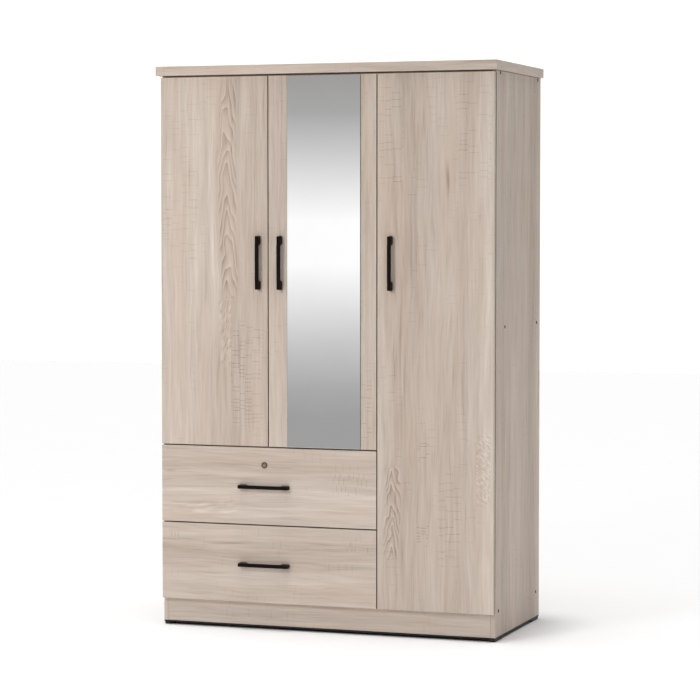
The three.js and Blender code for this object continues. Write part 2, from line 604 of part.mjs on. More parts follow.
// The lock: a flanged barrel through the upper drawer front, and a plug that turns a flat cam.
function buildLock(parent) {
  const x = DRAWER_HANDLE_X;
  const faceY = DOOR_FRONT_Y - GLUE;
  const barrelY = [faceY, DOOR_BACK_Y + LOCK_BEHIND];
  const bore = LOCK_PLUG_RADIUS + LOCK_CLEARANCE;
  const housing = join(
    roundAlongY(LOCK_RADIUS, x, barrelY, LOCK_Z),
    roundAlongY(LOCK_FLANGE_RADIUS, x, [faceY - LOCK_FLANGE, faceY], LOCK_Z),
  );
  const boreY = [faceY - LOCK_FLANGE - OVERCUT, barrelY[1] + OVERCUT];
  add(parent, 'lock_housing', 'chrome', cut(housing, roundAlongY(bore, x, boreY, LOCK_Z)));
  const cam = box(
    [x, x + CAM_LENGTH],
    CAM_Y,
    [LOCK_Z - CAM_WIDTH / 2, LOCK_Z + CAM_WIDTH / 2],
  );
  const plug = roundAlongY(LOCK_PLUG_RADIUS, x, [faceY - LOCK_FLANGE, CAM_Y[1]], LOCK_Z);
  const lock = new THREE.Group();
  parent.add(lock);
  add(lock, 'lock_plug', 'chrome', join(plug, cam));
}

function buildDrawers(parent) {
  const y = [DOOR_FRONT_Y, DOOR_BACK_Y];
  buildDrawer(parent, 'lower', LOWER_FRONT_Z, box(DRAWER_FRONT_X, y, LOWER_FRONT_Z));
  const lockHole = roundAlongY(
    LOCK_RADIUS + CUP_CLEARANCE,
    DRAWER_HANDLE_X,
    [DOOR_FRONT_Y - OVERCUT, DOOR_BACK_Y + OVERCUT],
    LOCK_Z,
  );
  buildDrawer(parent, 'upper', UPPER_FRONT_Z, cut(box(DRAWER_FRONT_X, y, UPPER_FRONT_Z), lockHole));
  buildLock(parent);
}

buildCarcass(wardrobe);
buildShelves(wardrobe);
buildRail(wardrobe);
buildBase(wardrobe);
buildDoors(wardrobe);
buildDrawers(wardrobe);

export default wardrobe;
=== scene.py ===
"""Looks of a three-door wardrobe with two drawers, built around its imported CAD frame.

The frame's boards, hinges and runners stay as they are: their edges are eased by modifiers and each gets
the finish of the real thing. Handles, screws, nails, shelf pins and the keyed lock plug are new surfaces.
Sizes are in metres, in the frame's own axes: X to the right, Y to the back, Z up.
"""

import logging
import math
from collections.abc import Sequence
from dataclasses import dataclass
from enum import Enum

import bpy
import numpy as np
from mathutils import Euler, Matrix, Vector


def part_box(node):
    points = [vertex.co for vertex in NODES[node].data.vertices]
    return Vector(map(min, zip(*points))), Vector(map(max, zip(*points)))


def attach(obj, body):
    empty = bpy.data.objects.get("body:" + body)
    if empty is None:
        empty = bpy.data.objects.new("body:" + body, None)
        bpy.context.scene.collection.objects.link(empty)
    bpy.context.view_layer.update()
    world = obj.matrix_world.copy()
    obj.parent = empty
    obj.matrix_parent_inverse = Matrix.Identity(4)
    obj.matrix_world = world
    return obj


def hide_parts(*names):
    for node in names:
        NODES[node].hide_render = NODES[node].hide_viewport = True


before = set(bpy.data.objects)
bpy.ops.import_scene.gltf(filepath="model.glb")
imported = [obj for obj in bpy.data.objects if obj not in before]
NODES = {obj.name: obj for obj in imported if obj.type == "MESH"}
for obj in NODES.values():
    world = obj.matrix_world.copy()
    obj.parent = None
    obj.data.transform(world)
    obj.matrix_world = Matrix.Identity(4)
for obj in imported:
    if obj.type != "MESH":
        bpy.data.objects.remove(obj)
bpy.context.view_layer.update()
LOG = logging.getLogger("wardrobe")

MM = 0.001
FULL_TURN = 2 * math.pi

Node = bpy.types.Node
Socket = bpy.types.NodeSocket
Tree = bpy.types.NodeTree


# ---- Shared helpers --------------------------------------------------------------------------

def linear(code: str) -> tuple[float, float, float, float]:
    """Turns an sRGB colour into linear light.

    Args:
        code: the colour as "#RRGGBB".

    Returns:
        Red, green, blue and an alpha of 1, each from 0 to 1.
    """
    srgb = [int(code[i:i + 2], 16) / 255 for i in (1, 3, 5)]
    light = [c / 12.92 if c <= 0.04045 else ((c + 0.055) / 1.055) ** 2.4 for c in srgb]
    return (*light, 1.0)


def add_node(tree: Tree, kind: str, inputs: dict | None = None, stops: Sequence[tuple[float, str]] = (),
             **settings: object) -> Node:
    """Adds a shader node.

    Args:
        tree: the node tree it goes into.
        kind: the node's type name, without the ShaderNode that they all start with.
        inputs: for each input, by name or number, its fixed value, the output socket that feeds it, or
            a node whose first output does.
        stops: a colour ramp's places, in rising order, and their sRGB colours.
        settings: the node's own settings, such as operation.

    Returns:
        The new node.
    """
    node = tree.nodes.new("ShaderNode" + kind)
    for name, value in settings.items():
        setattr(node, name, value)
    for key, value in (inputs or {}).items():
        if isinstance(value, Node):
            value = value.outputs[0]
        if isinstance(value, Socket):
            tree.links.new(value, node.inputs[key])
        else:
            node.inputs[key].default_value = value
    if stops:
        ramp = node.color_ramp.elements
        while len(ramp) < len(stops):
            ramp.new(1.0)
        for stop, (place, code) in zip(ramp, stops):
            stop.position = place
            stop.color = linear(code)
    return node


def new_material(name: str) -> tuple[bpy.types.Material, Tree]:
    """Starts a material with an empty node tree.

    Args:
        name: the real finish.

    Returns:
        The material and its node tree.
    """
    material = bpy.data.materials.new(name)
    material.use_nodes = True
    material.node_tree.nodes.clear()
    return material, material.node_tree


def close_material(material: bpy.types.Material, inputs: dict) -> bpy.types.Material:
    """Ends a material with one Principled shader.

    Args:
        material: the material.
        inputs: what feeds the shader's inputs, as for add_node.

    Returns:
        The same material.
    """
    shader = add_node(material.node_tree, "BsdfPrincipled", inputs)
    add_node(material.node_tree, "OutputMaterial", {"Surface": shader})
    return material


def sized_noise(tree: Tree, sizes: Sequence[tuple[float, float, float]], detail: float,
                step: float = 0.0) -> Node:
    """Adds up noises in object coordinates.

    Args:
        tree: the node tree.
        sizes: for each noise, the size of its blobs along X, Y and Z in millimetres.
        detail: octaves of finer noise.
        step: how far each next noise is moved, so that two of one size differ.

    Returns:
        The sum, about half the number of noises.
    """
    source = add_node(tree, "TexCoord").outputs["Object"]
    total = None
    for number, size in enumerate(sizes):
        scale = tuple(1 / (length * MM) for length in size)
        sized = add_node(tree, "Mapping", {
            "Vector": source, "Scale": scale, "Location": (step * number, 0.0, 0.0)})
        noise = add_node(tree, "TexNoise", {"Vector": sized, "Scale": 1.0, "Detail": detail})
        if total is None:
            total = noise
        else:
            total = add_node(tree, "Math", {0: total, 1: noise}, operation="ADD")
    return total


def dress(piece: bpy.types.Object, material: bpy.types.Material) -> None:
    """Puts a material on the object's own slot, so that the mesh data stays as it was.

    Args:
        piece: the object.
        material: its finish.
    """
    if not piece.material_slots:
        piece.data.materials.append(None)
    piece.material_slots[0].link = "OBJECT"
    piece.material_slots[0].material = material


def ease_edges(node: str, width: float, segments: int = 2) -> None:
    """Joins a CAD node's loose triangles and rounds its sharp edges by modifiers.

    Args:
        node: the CAD node's name.
        width: how wide the rounding is, in metres.
        segments: the faces across the rounding.
    """
    piece = NODES[node]
    weld = piece.modifiers.new("join_triangles", "WELD")
    weld.merge_threshold = 0.02 * MM
    bevel = piece.modifiers.new("eased_edges", "BEVEL")
    bevel.width = width
    bevel.segments = segments
    bevel.limit_method = "ANGLE"
    bevel.angle_limit = math.radians(40)
    bevel.use_clamp_overlap = True


def ring_stack(name: str, rings: np.ndarray, smooth_angle: float = 35) -> bpy.types.Object:
    """Makes closed shells, each a stack of rings whose first and last are closed by a flat face.

    Args:
        name: the new object's name.
        rings: places with the shape (shells, rings, points in a ring, 3).
        smooth_angle: edges sharper than this, in degrees, stay crisp.

    Returns:
        The new object, at the origin.
    """
    shells, levels, around, _ = rings.shape
    index = np.arange(shells * levels * around).reshape(shells, levels, around)
    turned = np.roll(index, -1, axis=2)
    quads = np.stack([index[:, :-1], turned[:, :-1], turned[:, 1:], index[:, 1:]], axis=-1).reshape(-1, 4)
    caps = np.concatenate([index[:, 0, ::-1], index[:, -1]])
    mesh = bpy.data.meshes.new(name)
    mesh.from_pydata(rings.reshape(-1, 3).tolist(), [], quads.tolist() + caps.tolist())
    mesh.polygons.foreach_set("use_smooth", np.ones(len(mesh.polygons), bool))
    mesh.set_sharp_from_angle(angle=math.radians(smooth_angle))
    mesh.update()
    piece = bpy.data.objects.new(name, mesh)
    bpy.context.scene.collection.objects.link(piece)
    return piece


def fit_piece(piece: bpy.types.Object, body: str, material: bpy.types.Material) -> None:
    """Finishes a new piece: its body, its material and a line in the log.

    Args:
        piece: the new piece.
        body: the body that it rides on.
        material: its finish.
    """
    dress(piece, material)
    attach(piece, body)
    LOG.info("%s: %d faces on %s", piece.name, len(piece.data.polygons), body)


# ---- Finishes --------------------------------------------------------------------------------

class Grain(Enum):
    """How a board lies: the turn that brings across, along and through the board onto X, Y and Z."""

    UPRIGHT_FRONT = (-90.0, 0.0, 0.0)
    UPRIGHT_SIDE = (-90.0, -90.0, 0.0)
    LEVEL_FRONT = (90.0, 0.0, 90.0)
    LEVEL_FLAT = (180.0, 0.0, 90.0)

    def turn(self) -> Euler:
        """The turn as angles in radians."""
        return Euler([math.radians(angle) for angle in self.value])


class Pattern(Enum):
    """What is drawn in one patch of the oak print."""

    ARCHES = "nested arches of a flat-sawn board, with their points up the grain"
    RIPPLES = "short slanting strokes, as round a knot"
    SAW_CUTS = "short dark marks across the grain"
    STREAK = "one soft dark or pale line along the grain"


@dataclass(frozen=True)
class Patch:
    """A place on a board that holds a pattern. Sizes are in millimetres from the board's middle.

    Attributes:
        pattern: what is drawn.
        across, along: the patch's middle.
        width, length: its size across and along the grain.
        strength: how dark it is, or how pale where below nothing.
        pitch: the step between arches, ripples or saw cuts.
        measure: how far ripples turn from the grain, in degrees, or a saw cut's length across it.
    """

    pattern: Pattern
    across: float
    along: float
    width: float
    length: float
    strength: float = 0.3
    pitch: float = 60.0
    measure: float = 30.0


@dataclass(frozen=True)
class StreakLayer:
    """One size of grain streak in the print: its width and length in millimetres, and its strength."""

    width: float
    length: float
    strength: float
    detail: float


@dataclass(frozen=True)
class SawnOak:
    """Chipboard faced with melamine paper that is printed as pale rough-sawn oak.

    The paper gives a matt greyish beige with soft tone bands along the grain, finer streaks in them,
    staves that differ a little, and now and then the marks that a saw leaves across the grain. A light
    emboss follows the print. Edge bands carry the same print along the edge.

    Attributes:
        board: the board's CAD node.
        grain: how the board lies.
        seed: which part of the noise the board shows.
        patches: the patterns of its own.
    """

    board: str
    grain: Grain
    seed: float
    patches: tuple[Patch, ...] = ()

    LAYERS = (
        StreakLayer(46, 1500, 0.40, 1),
        StreakLayer(17, 330, 0.46, 2),
        StreakLayer(7.5, 210, 0.44, 2),
        StreakLayer(3.6, 110, 0.24, 1),
    )
    # The print's tones from dark to pale, the beige that it warms to, and the dark brown of the painted
    # shade in narrow gaps.
    TONES = ((0.0, "#8E7D6E"), (0.28, "#B2A294"), (0.5, "#C4B5A8"), (0.72, "#D0C2B5"), (1.0, "#E2D6CA"))
    WARM = "#CFB39C"
    SHADE = "#2A170D"
    # In millimetres: a stave's width, a pore's width and length, how far the grain sways over a long
    # way and bends over a short one, and how near another board must be for shade to be painted into the
    # gap.
    STAVE = 62.0
    PORE = (2.6, 150.0)
    SWAY = 30.0
    BEND = 14.0
    GAP_SHADE_REACH = 5.0
    # A saw mark's length across the grain, its thickness and its cell's size along the grain, in
    # millimetres. Real marks are finer, and are drawn as coarse as they need to be to show.
    SAW_MARK = (34.0, 2.6, 27.0)
    PATCH_MARK = 2.4
    # How much of the tone the wide bands, a stave's own chance, the pores and the saw marks make up.
    BANDS = 0.5
    STAVE_STEP = 0.13
    PORES = 0.18
    SAWN = 0.13

    def plane(self, tree: Tree) -> Node:
        """Works out where a point lies on the print.

        The point is turned so that X is across the grain, Y along it and Z through the board. Across
        takes on a share of the depth, so that a long edge shows lines too. On the end faces, depth and
        across take the places of across and along, because an edge band's print runs along the edge.
        Two slow noises then push the point to and fro across the grain, so that no line is straight.

        Args:
            tree: the material's node tree.

        Returns:
            A vector of the places across and along, in metres, with 1 as the third value.
        """
        low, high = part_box(self.board)
        turn = self.grain.turn()
        shift = -(turn.to_matrix() @ ((low + high) / 2))
        source = add_node(tree, "TexCoord")
        place = add_node(tree, "Mapping", {
            "Vector": source.outputs["Object"], "Rotation": turn, "Location": shift})
        facing = add_node(tree, "Mapping", {
            "Vector": source.outputs["Normal"], "Rotation": turn}, vector_type="VECTOR")
        spot = add_node(tree, "SeparateXYZ", {0: place}).outputs
        toward = add_node(tree, "SeparateXYZ", {0: facing}).outputs["Y"]
        size = add_node(tree, "Math", {0: toward}, operation="ABSOLUTE")
        is_end = add_node(tree, "Math", {0: size, 1: 0.5}, operation="GREATER_THAN")
        skewed = add_node(tree, "Math", {0: spot["Z"], 1: 0.8, 2: spot["X"]}, operation="MULTIPLY_ADD")
        across = add_node(tree, "Mix", {0: is_end, 2: skewed, 3: spot["Z"]})
        along = add_node(tree, "Mix", {0: is_end, 2: spot["Y"], 3: spot["X"]})
        straight = add_node(tree, "CombineXYZ", {"X": across, "Y": along, "Z": 1.0})
        sway = self.noise(tree, straight, 90, 620, 1.0, shift=10.0)
        bend = self.noise(tree, straight, 26, 150, 1.0, shift=15.0)
        for push, size in ((bend, self.BEND), (sway, self.SWAY)):
            across = add_node(tree, "Math", {0: push, 1: size * MM, 2: across}, operation="MULTIPLY_ADD")
        return add_node(tree, "CombineXYZ", {"X": across, "Y": along, "Z": 1.0})

    def noise(self, tree: Tree, plane: Node, width: float, length: float, detail: float,
              shift: float = 0.0) -> Node:
        """Noise whose blobs are width millimetres across the grain and length along it.

        Args:
            tree: the material's node tree.
            plane: across and along in metres, with 1 as the third value.
            width: blob size across the grain.
            length: blob size along the grain.
            detail: octaves of finer noise.
            shift: moves the pattern to another part of the noise.

        Returns:
            The noise, about 0.5 with a spread of about 0.12.
        """
        scale = (1 / (width * MM), 1 / (length * MM), self.seed + shift)
        spread = add_node(tree, "VectorMath", {0: plane, 1: scale}, operation="MULTIPLY")
        return add_node(tree, "TexNoise", {
            "Vector": spread, "Scale": 1.0, "Detail": detail, "Roughness": 0.55})

    def saw_marks(self, tree: Tree, plane: Node, width: float, thickness: float, pitch: float) -> Node:
        """Short marks across the grain, one or none in each cell of a loose grid.

        The board is split into columns as wide as a mark, each shifted along by its own chance, and
        each column into cells one pitch long. A second chance leaves 45 cells in a hundred empty, and
        moves the others' marks to and fro.

        Args:
            tree: the material's node tree.
            plane: across and along in metres, with 1 as the third value.
            width: a mark's length across the grain, in millimetres.
            thickness: a mark's size along the grain, in millimetres.
            pitch: a cell's length along the grain, in millimetres.

        Returns:
            Minus one on a mark and nothing elsewhere.
        """
        scale = (1 / (width * MM), 1 / (pitch * MM), self.seed)
        grid = add_node(tree, "VectorMath", {0: plane, 1: scale}, operation="MULTIPLY")
        part = add_node(tree, "SeparateXYZ", {0: grid}).outputs
        column = add_node(tree, "Math", {0: part["X"]}, operation="FLOOR")
        shift = add_node(tree, "TexWhiteNoise", {"W": column}, noise_dimensions="1D")
        shifted = add_node(tree, "Math", {0: part["Y"], 1: shift}, operation="ADD")
        row = add_node(tree, "Math", {0: shifted}, operation="FLOOR")
        cell = add_node(tree, "CombineXYZ", {"X": column, "Y": row, "Z": self.seed})
        chance = add_node(tree, "TexWhiteNoise", {"Vector": cell})
        within = add_node(tree, "Math", {0: shifted}, operation="FRACT")
        spot = add_node(tree, "Math", {0: chance, 1: 0.6, 2: 0.1}, operation="MULTIPLY_ADD")
        away = add_node(tree, "Math", {0: within, 1: spot}, operation="SUBTRACT")
        gap = add_node(tree, "Math", {0: away}, operation="ABSOLUTE")
        line = add_node(tree, "MapRange", {
            "Value": gap, "From Min": 0.3 * thickness / pitch, "From Max": 0.7 * thickness / pitch,
            "To Min": -1.0, "To Max": 0.0})
        kept = add_node(tree, "Math", {0: chance, 1: 0.45}, operation="GREATER_THAN")
        return add_node(tree, "Math", {0: line, 1: kept}, operation="MULTIPLY")

    def patch_mask(self, tree: Tree, plane: Node, patch: Patch) -> tuple[Node, Node]:
        """The share of a patch at a point, which fades over its outer part, and the place in it.

        Args:
            tree: the material's node tree.
            plane: across and along in metres, with 1 as the third value.
            patch: the patch.

        Returns:
            The share from 0 to 1, and the place in half widths and half lengths from its middle.
        """
        middle = ((patch.across + (self.SWAY + self.BEND) / 2) * MM, patch.along * MM, 0.0)
        half = (patch.width / 2 * MM, patch.length / 2 * MM, 1.0)
        away = add_node(tree, "VectorMath", {0: plane, 1: middle}, operation="SUBTRACT")
        inside = add_node(tree, "VectorMath", {0: away, 1: half}, operation="DIVIDE")
        size = add_node(tree, "VectorMath", {0: inside}, operation="ABSOLUTE")
        part = add_node(tree, "SeparateXYZ", {0: size}).outputs
        wide, long = (add_node(tree, "MapRange", {
            "Value": part[axis], "From Min": start, "From Max": 1.0, "To Min": 1.0, "To Max": 0.0},
            interpolation_type="SMOOTHSTEP") for axis, start in (("X", 0.86), ("Y", 0.8)))
        return add_node(tree, "Math", {0: wide, 1: long}, operation="MULTIPLY"), inside

    def pattern(self, tree: Tree, plane: Node, patch: Patch, inside: Node) -> Node:
        """The tone that a patch's pattern adds at full strength.

        ARCHES: the phase is the height plus a rise that grows with the distance from the patch's
        middle line, over the pitch, and the tone is dark just under each arch and fades below it.
        RIPPLES: noise stretched along a leaning line. STREAK: darkest in the middle, fading along an
        ellipse.

        Args:
            tree: the material's node tree.
            plane: across and along in metres, with 1 as the third value.
            patch: the patch.
            inside: the place in the patch, in half widths and half lengths.

        Returns:
            The tone, from about minus one to one.
        """
        if patch.pattern is Pattern.SAW_CUTS:
            return self.saw_marks(tree, plane, patch.measure, self.PATCH_MARK, patch.pitch)
        if patch.pattern is Pattern.RIPPLES:
            leaned = add_node(tree, "Mapping", {
                "Vector": plane, "Rotation": (0.0, 0.0, math.radians(patch.measure))})
            noise = self.noise(tree, leaned, patch.pitch / 5, patch.pitch, 1.0, shift=70.0)
            return add_node(tree, "MapRange", {
                "Value": noise, "From Min": 0.3, "From Max": 0.7, "To Min": -1.0, "To Max": 1.0})
        if patch.pattern is Pattern.STREAK:
            flat = add_node(tree, "VectorMath", {0: inside, 1: (1.0, 0.9, 0.0)}, operation="MULTIPLY")
            size = add_node(tree, "VectorMath", {0: flat}, operation="LENGTH").outputs["Value"]
            return add_node(tree, "MapRange", {
                "Value": size, "From Min": 0.0, "From Max": 0.9, "To Min": -1.0, "To Max": 0.0},
                interpolation_type="SMOOTHSTEP")
        part = add_node(tree, "SeparateXYZ", {0: inside}).outputs
        side = add_node(tree, "Math", {0: part["X"]}, operation="ABSOLUTE")
        wander = self.noise(tree, plane, patch.width / 2, patch.pitch * 1.5, 1.0, shift=90.0)
        curve = add_node(tree, "Math", {0: side, 1: 1.35}, operation="POWER")
        phase = wander
        for term, factor in ((curve, 1.9), (wander, 1.6), (part["Y"], patch.length / 2 / patch.pitch)):
            phase = add_node(tree, "Math", {0: term, 1: factor, 2: phase}, operation="MULTIPLY_ADD")
        step = add_node(tree, "Math", {0: phase}, operation="FRACT")
        fade = add_node(tree, "Math", {0: step, 1: 1.1}, operation="POWER")
        return add_node(tree, "Math", {0: fade, 1: -1.2, 2: 0.4}, operation="MULTIPLY_ADD")

    def terms(self, tree: Tree, plane: Node, cuts: Node) -> list[tuple[Node, Node | float]]:
        """What adds up to the tone: each pattern and its strength.

        Args:
            tree: the material's node tree.
            plane: across and along in metres, with 1 as the third value.
            cuts: the saw marks that show.

        Returns:
            The wide bands, streak layers, stave steps, pores, saw marks and patches, in that order.
        """
        drawn = [(self.noise(tree, plane, self.STAVE * 2, 5000, 0.0, shift=20.0), self.BANDS)]
        for number, layer in enumerate(self.LAYERS):
            streaks = self.noise(tree, plane, layer.width, layer.length, layer.detail, shift=3.0 * number)
            drawn.append((streaks, layer.strength))
        place = add_node(tree, "VectorMath", {
            0: plane, 1: (1 / (self.STAVE * MM), 0.0, self.seed), 2: (0.0, 0.5, 0.0)},
            operation="MULTIPLY_ADD")
        stave = add_node(tree, "VectorMath", {0: place}, operation="FLOOR")
        drawn.append((add_node(tree, "TexWhiteNoise", {"Vector": stave}), self.STAVE_STEP))
        fine = self.noise(tree, plane, *self.PORE, 1.0, shift=60.0)
        pores = add_node(tree, "MapRange", {
            "Value": fine, "From Min": 0.60, "From Max": 0.72, "To Min": 0.0, "To Max": -self.PORES})
        drawn += [(pores, 1.0), (cuts, self.SAWN)]
        for patch in self.patches:
            share, inside = self.patch_mask(tree, plane, patch)
            shape = self.pattern(tree, plane, patch, inside)
            strength = add_node(tree, "Math", {0: share, 1: patch.strength}, operation="MULTIPLY")
            drawn.append((shape, strength))
        return drawn

    def build(self) -> bpy.types.Material:
        """Builds the board's material.

        The tone is the sum of the terms, with the saw marks only where a slow noise lets them show. A
        ramp turns it to colour, another slow noise warms it, and the tone and saw marks are embossed.
        Within a few millimetres of another board an ambient occlusion node paints shade into the
        print: it turns dark brown and loses its gloss, standing in for the shade in narrow gaps.

        Returns:
            The material.
        """
        material, tree = new_material("sawn_oak_melamine." + self.board)
        plane = self.plane(tree)
        where = self.noise(tree, plane, 70, 190, 1.0, shift=30.0)
        shown = add_node(tree, "MapRange", {"Value": where, "From Min": 0.53, "From Max": 0.62})
        marks = self.saw_marks(tree, plane, *self.SAW_MARK)
        cuts = add_node(tree, "Math", {0: marks, 1: shown}, operation="MULTIPLY")
        # Noise averages a half, so this start puts the mean tone near the middle of the ramp.
        total = 0.5 - 0.5 * (self.BANDS + sum(layer.strength for layer in self.LAYERS))
        for drawn, strength in self.terms(tree, plane, cuts):
            total = add_node(tree, "Math", {0: drawn, 1: strength, 2: total}, operation="MULTIPLY_ADD")

        ramp = add_node(tree, "ValToRGB", {0: total}, stops=self.TONES)
        warmth = self.noise(tree, plane, 60, 700, 1.0, shift=50.0)
        share = add_node(tree, "MapRange", {
            "Value": warmth, "From Min": 0.45, "From Max": 0.75, "To Min": 0.0, "To Max": 0.25})
        colour = add_node(tree, "Mix", {0: share, 6: ramp, 7: linear(self.WARM)}, data_type="RGBA")
        # Painted shade: where another board is within a few millimetres, the print turns dark brown and its
        # gloss drops, for the shade in narrow gaps.
        near = add_node(tree, "AmbientOcclusion", {"Distance": self.GAP_SHADE_REACH * MM}, samples=6)
        unshaded_share = add_node(tree, "MapRange", {
            "Value": near.outputs["AO"], "From Min": 0.42, "From Max": 0.85})
        shaded_colour = add_node(tree, "Mix", {
            0: unshaded_share, 6: linear(self.SHADE), 7: colour.outputs[2]}, data_type="RGBA")
        shine = add_node(tree, "Math", {0: unshaded_share, 1: 0.5}, operation="MULTIPLY")
        rough = add_node(tree, "MapRange", {
            "Value": total, "From Min": 0.2, "From Max": 0.8, "To Min": 0.62, "To Max": 0.52})
        relief = add_node(tree, "Math", {0: cuts, 1: 0.5, 2: total}, operation="MULTIPLY_ADD")
        bump = add_node(tree, "Bump", {"Height": relief, "Strength": 0.25, "Distance": 0.25 * MM})
        return close_material(material, {
            "Base Color": shaded_colour.outputs[2], "Roughness": rough, "Normal": bump,
            "Specular IOR Level": shine, "IOR": 1.48})


@dataclass(frozen=True)
class EvenFinish:
    """A plastic, paint or plating: two close colours, a roughness that varies, and a fine texture.

    Attributes:
        name: the real finish.
        pale, dark: the two ends of the colour, as sRGB hex.
        metallic: 1 for bare or plated metal.
        roughness: the lowest and highest roughness.
        texture: the blob size in millimetres along X, Y and Z. A long blob is a brushed line.
        relief: the height of the texture in millimetres.
        gloss: the shader's specular level, where 0.5 is a plain smooth surface.
    """

    name: str
    pale: str
    dark: str
    metallic: float
    roughness: tuple[float, float]
    texture: tuple[float, float, float]
    relief: float
    gloss: float = 0.5

    def build(self) -> bpy.types.Material:
        """Builds the material, with colour, roughness and bump from one noise in real size.

        Returns:
            The material.
        """
        material, tree = new_material(self.name)
        noise = sized_noise(tree, (self.texture,), 2.0)
        spread = add_node(tree, "MapRange", {"Value": noise, "From Min": 0.3, "From Max": 0.7})
        colour = add_node(tree, "Mix", {
            0: spread, 6: linear(self.dark), 7: linear(self.pale)}, data_type="RGBA")
        rough = add_node(tree, "MapRange", {
            "Value": noise, "From Min": 0.3, "From Max": 0.7,
            "To Min": self.roughness[0], "To Max": self.roughness[1]})
        bump = add_node(tree, "Bump", {"Height": noise, "Strength": 0.6, "Distance": self.relief * MM})
        return close_material(material, {
            "Base Color": colour.outputs[2], "Roughness": rough, "Normal": bump,
            "Metallic": self.metallic, "Specular IOR Level": self.gloss})


# Matt powder coat on the handles: near black, and its fine orange peel spreads most of the highlights.
POWDER_COAT = EvenFinish(
    "black_powder_coat", "#17110F", "#0B0807", 0.0, (0.40, 0.52), (0.9, 0.9, 0.9), 0.03, gloss=0.10)
# Moulded polypropylene: the edge strip and glides, dull black with a spark-eroded grain. The strip's black
# also stands in for the shade under the cabinet's bottom edges, as painted shade.
POLYPROPYLENE = EvenFinish(
    "black_polypropylene", "#1C1917", "#0F0D0C", 0.0, (0.48, 0.62), (1.2, 1.2, 1.2), 0.05)
# Nickel plate on pressed steel: hinges, pins and screws, a warm soft mirror with rolling lines.
NICKEL = EvenFinish(
    "nickel_plated_steel", "#CFCBC4", "#B9B4AB", 1.0, (0.22, 0.34), (0.8, 9.0, 0.8), 0.01)
# Chrome plate: the rail and its sockets, a cold bright mirror with faint wipe marks.
CHROME = EvenFinish("chrome_plate", "#E3E5E8", "#D2D5D9", 1.0, (0.06, 0.14), (14.0, 5.0, 5.0), 0.004)
# Nickel plate on the lock's plug and cam: a dull brownish metal, darker than new plate, whose brown tint is
# a painted reflection of warm surroundings.
PLUG_NICKEL_TINTED = EvenFinish(
    "nickel_plate_warm_tint", "#B9AC9E", "#9C8E80", 1.0, (0.3, 0.42), (4.0, 4.0, 4.0), 0.01)
# Plate on the lock's housing, brown and half dull, darker than the plug's so that the plug stands out: the
# dark is painted shade for the flange's shaded rim.
HOUSING_PLATE_SHADED = EvenFinish("lock_housing_plate_shaded", "#85766A", "#64564B", 1.0, (0.35, 0.5), (4.0, 4.0, 4.0), 0.01)
# Extruded nylon: the runner battens, milky grey and a little waxy.
NYLON = EvenFinish("grey_nylon", "#C9C6BF", "#B8B4AC", 0.0, (0.38, 0.5), (2.0, 30.0, 2.0), 0.02)
# Blackened steel: the side panels' socket screws. Oxide hides the metal: brown-black, weak shine.
BURNISHED = EvenFinish(
    "burnished_steel", "#2E221B", "#1A120E", 0.0, (0.45, 0.6), (0.7, 0.7, 0.7), 0.02, gloss=0.25)
# Zinc-plated wire: the nails in the back sheet, pale grey and a little blotched.
ZINC = EvenFinish("zinc_plate", "#BFC3C4", "#9BA0A2", 1.0, (0.35, 0.5), (1.5, 1.5, 1.5), 0.01)


@dataclass(frozen=True)
class Hardboard:
    """Wet-pressed wood fibre sheet: warm brown, smooth, flecked with short darker and paler fibres."""

    pale: str = "#B59C7E"
    middle: str = "#A38868"
    dark: str = "#8B7052"

    def build(self) -> bpy.types.Material:
        """Builds the material: fibre tufts 6 mm long in two directions over faint blotches 240 mm wide.

        Returns:
            The material.
        """
        material, tree = new_material("brown_hardboard")
        total = sized_noise(tree, ((6.0, 6.0, 2.0), (2.0, 6.0, 6.0), (240.0, 240.0, 240.0)), 2.0, step=7.0)
        share = add_node(tree, "MapRange", {"Value": total, "From Min": 1.15, "From Max": 1.85})
        stops = ((0.0, self.dark), (0.5, self.middle), (1.0, self.pale))
        ramp = add_node(tree, "ValToRGB", {0: share}, stops)
        rough = add_node(tree, "MapRange", {"Value": share, "To Min": 0.5, "To Max": 0.64})
        bump = add_node(tree, "Bump", {"Height": total, "Strength": 0.4, "Distance": 0.08 * MM})
        return close_material(material, {"Base Color": ramp, "Roughness": rough, "Normal": bump})


@dataclass(frozen=True)
class LinenFoil:
    """Foil-wrapped drawer side: pale beige printed as linen, with threads 1.2 mm apart both ways."""

    pale: str = "#DDD6CC"
    dark: str = "#C3BAAD"
    thread: float = 1.2

    def build(self) -> bpy.types.Material:
        """Builds the material: two crossed sets of threads, broken up by noise along them.

        Returns:
            The material.
        """
        material, tree = new_material("linen_foil")
        total = sized_noise(tree, ((60.0, 60.0, self.thread), (self.thread, self.thread, 40.0)), 1.0)
        share = add_node(tree, "MapRange", {"Value": total, "From Min": 0.7, "From Max": 1.3})
        colour = add_node(tree, "Mix", {
            0: share, 6: linear(self.dark), 7: linear(self.pale)}, data_type="RGBA")
        rough = add_node(tree, "MapRange", {"Value": share, "To Min": 0.58, "To Max": 0.46})
        bump = add_node(tree, "Bump", {"Height": total, "Strength": 0.3, "Distance": 0.05 * MM})
        return close_material(material, {
            "Base Color": colour.outputs[2], "Roughness": rough, "Normal": bump})


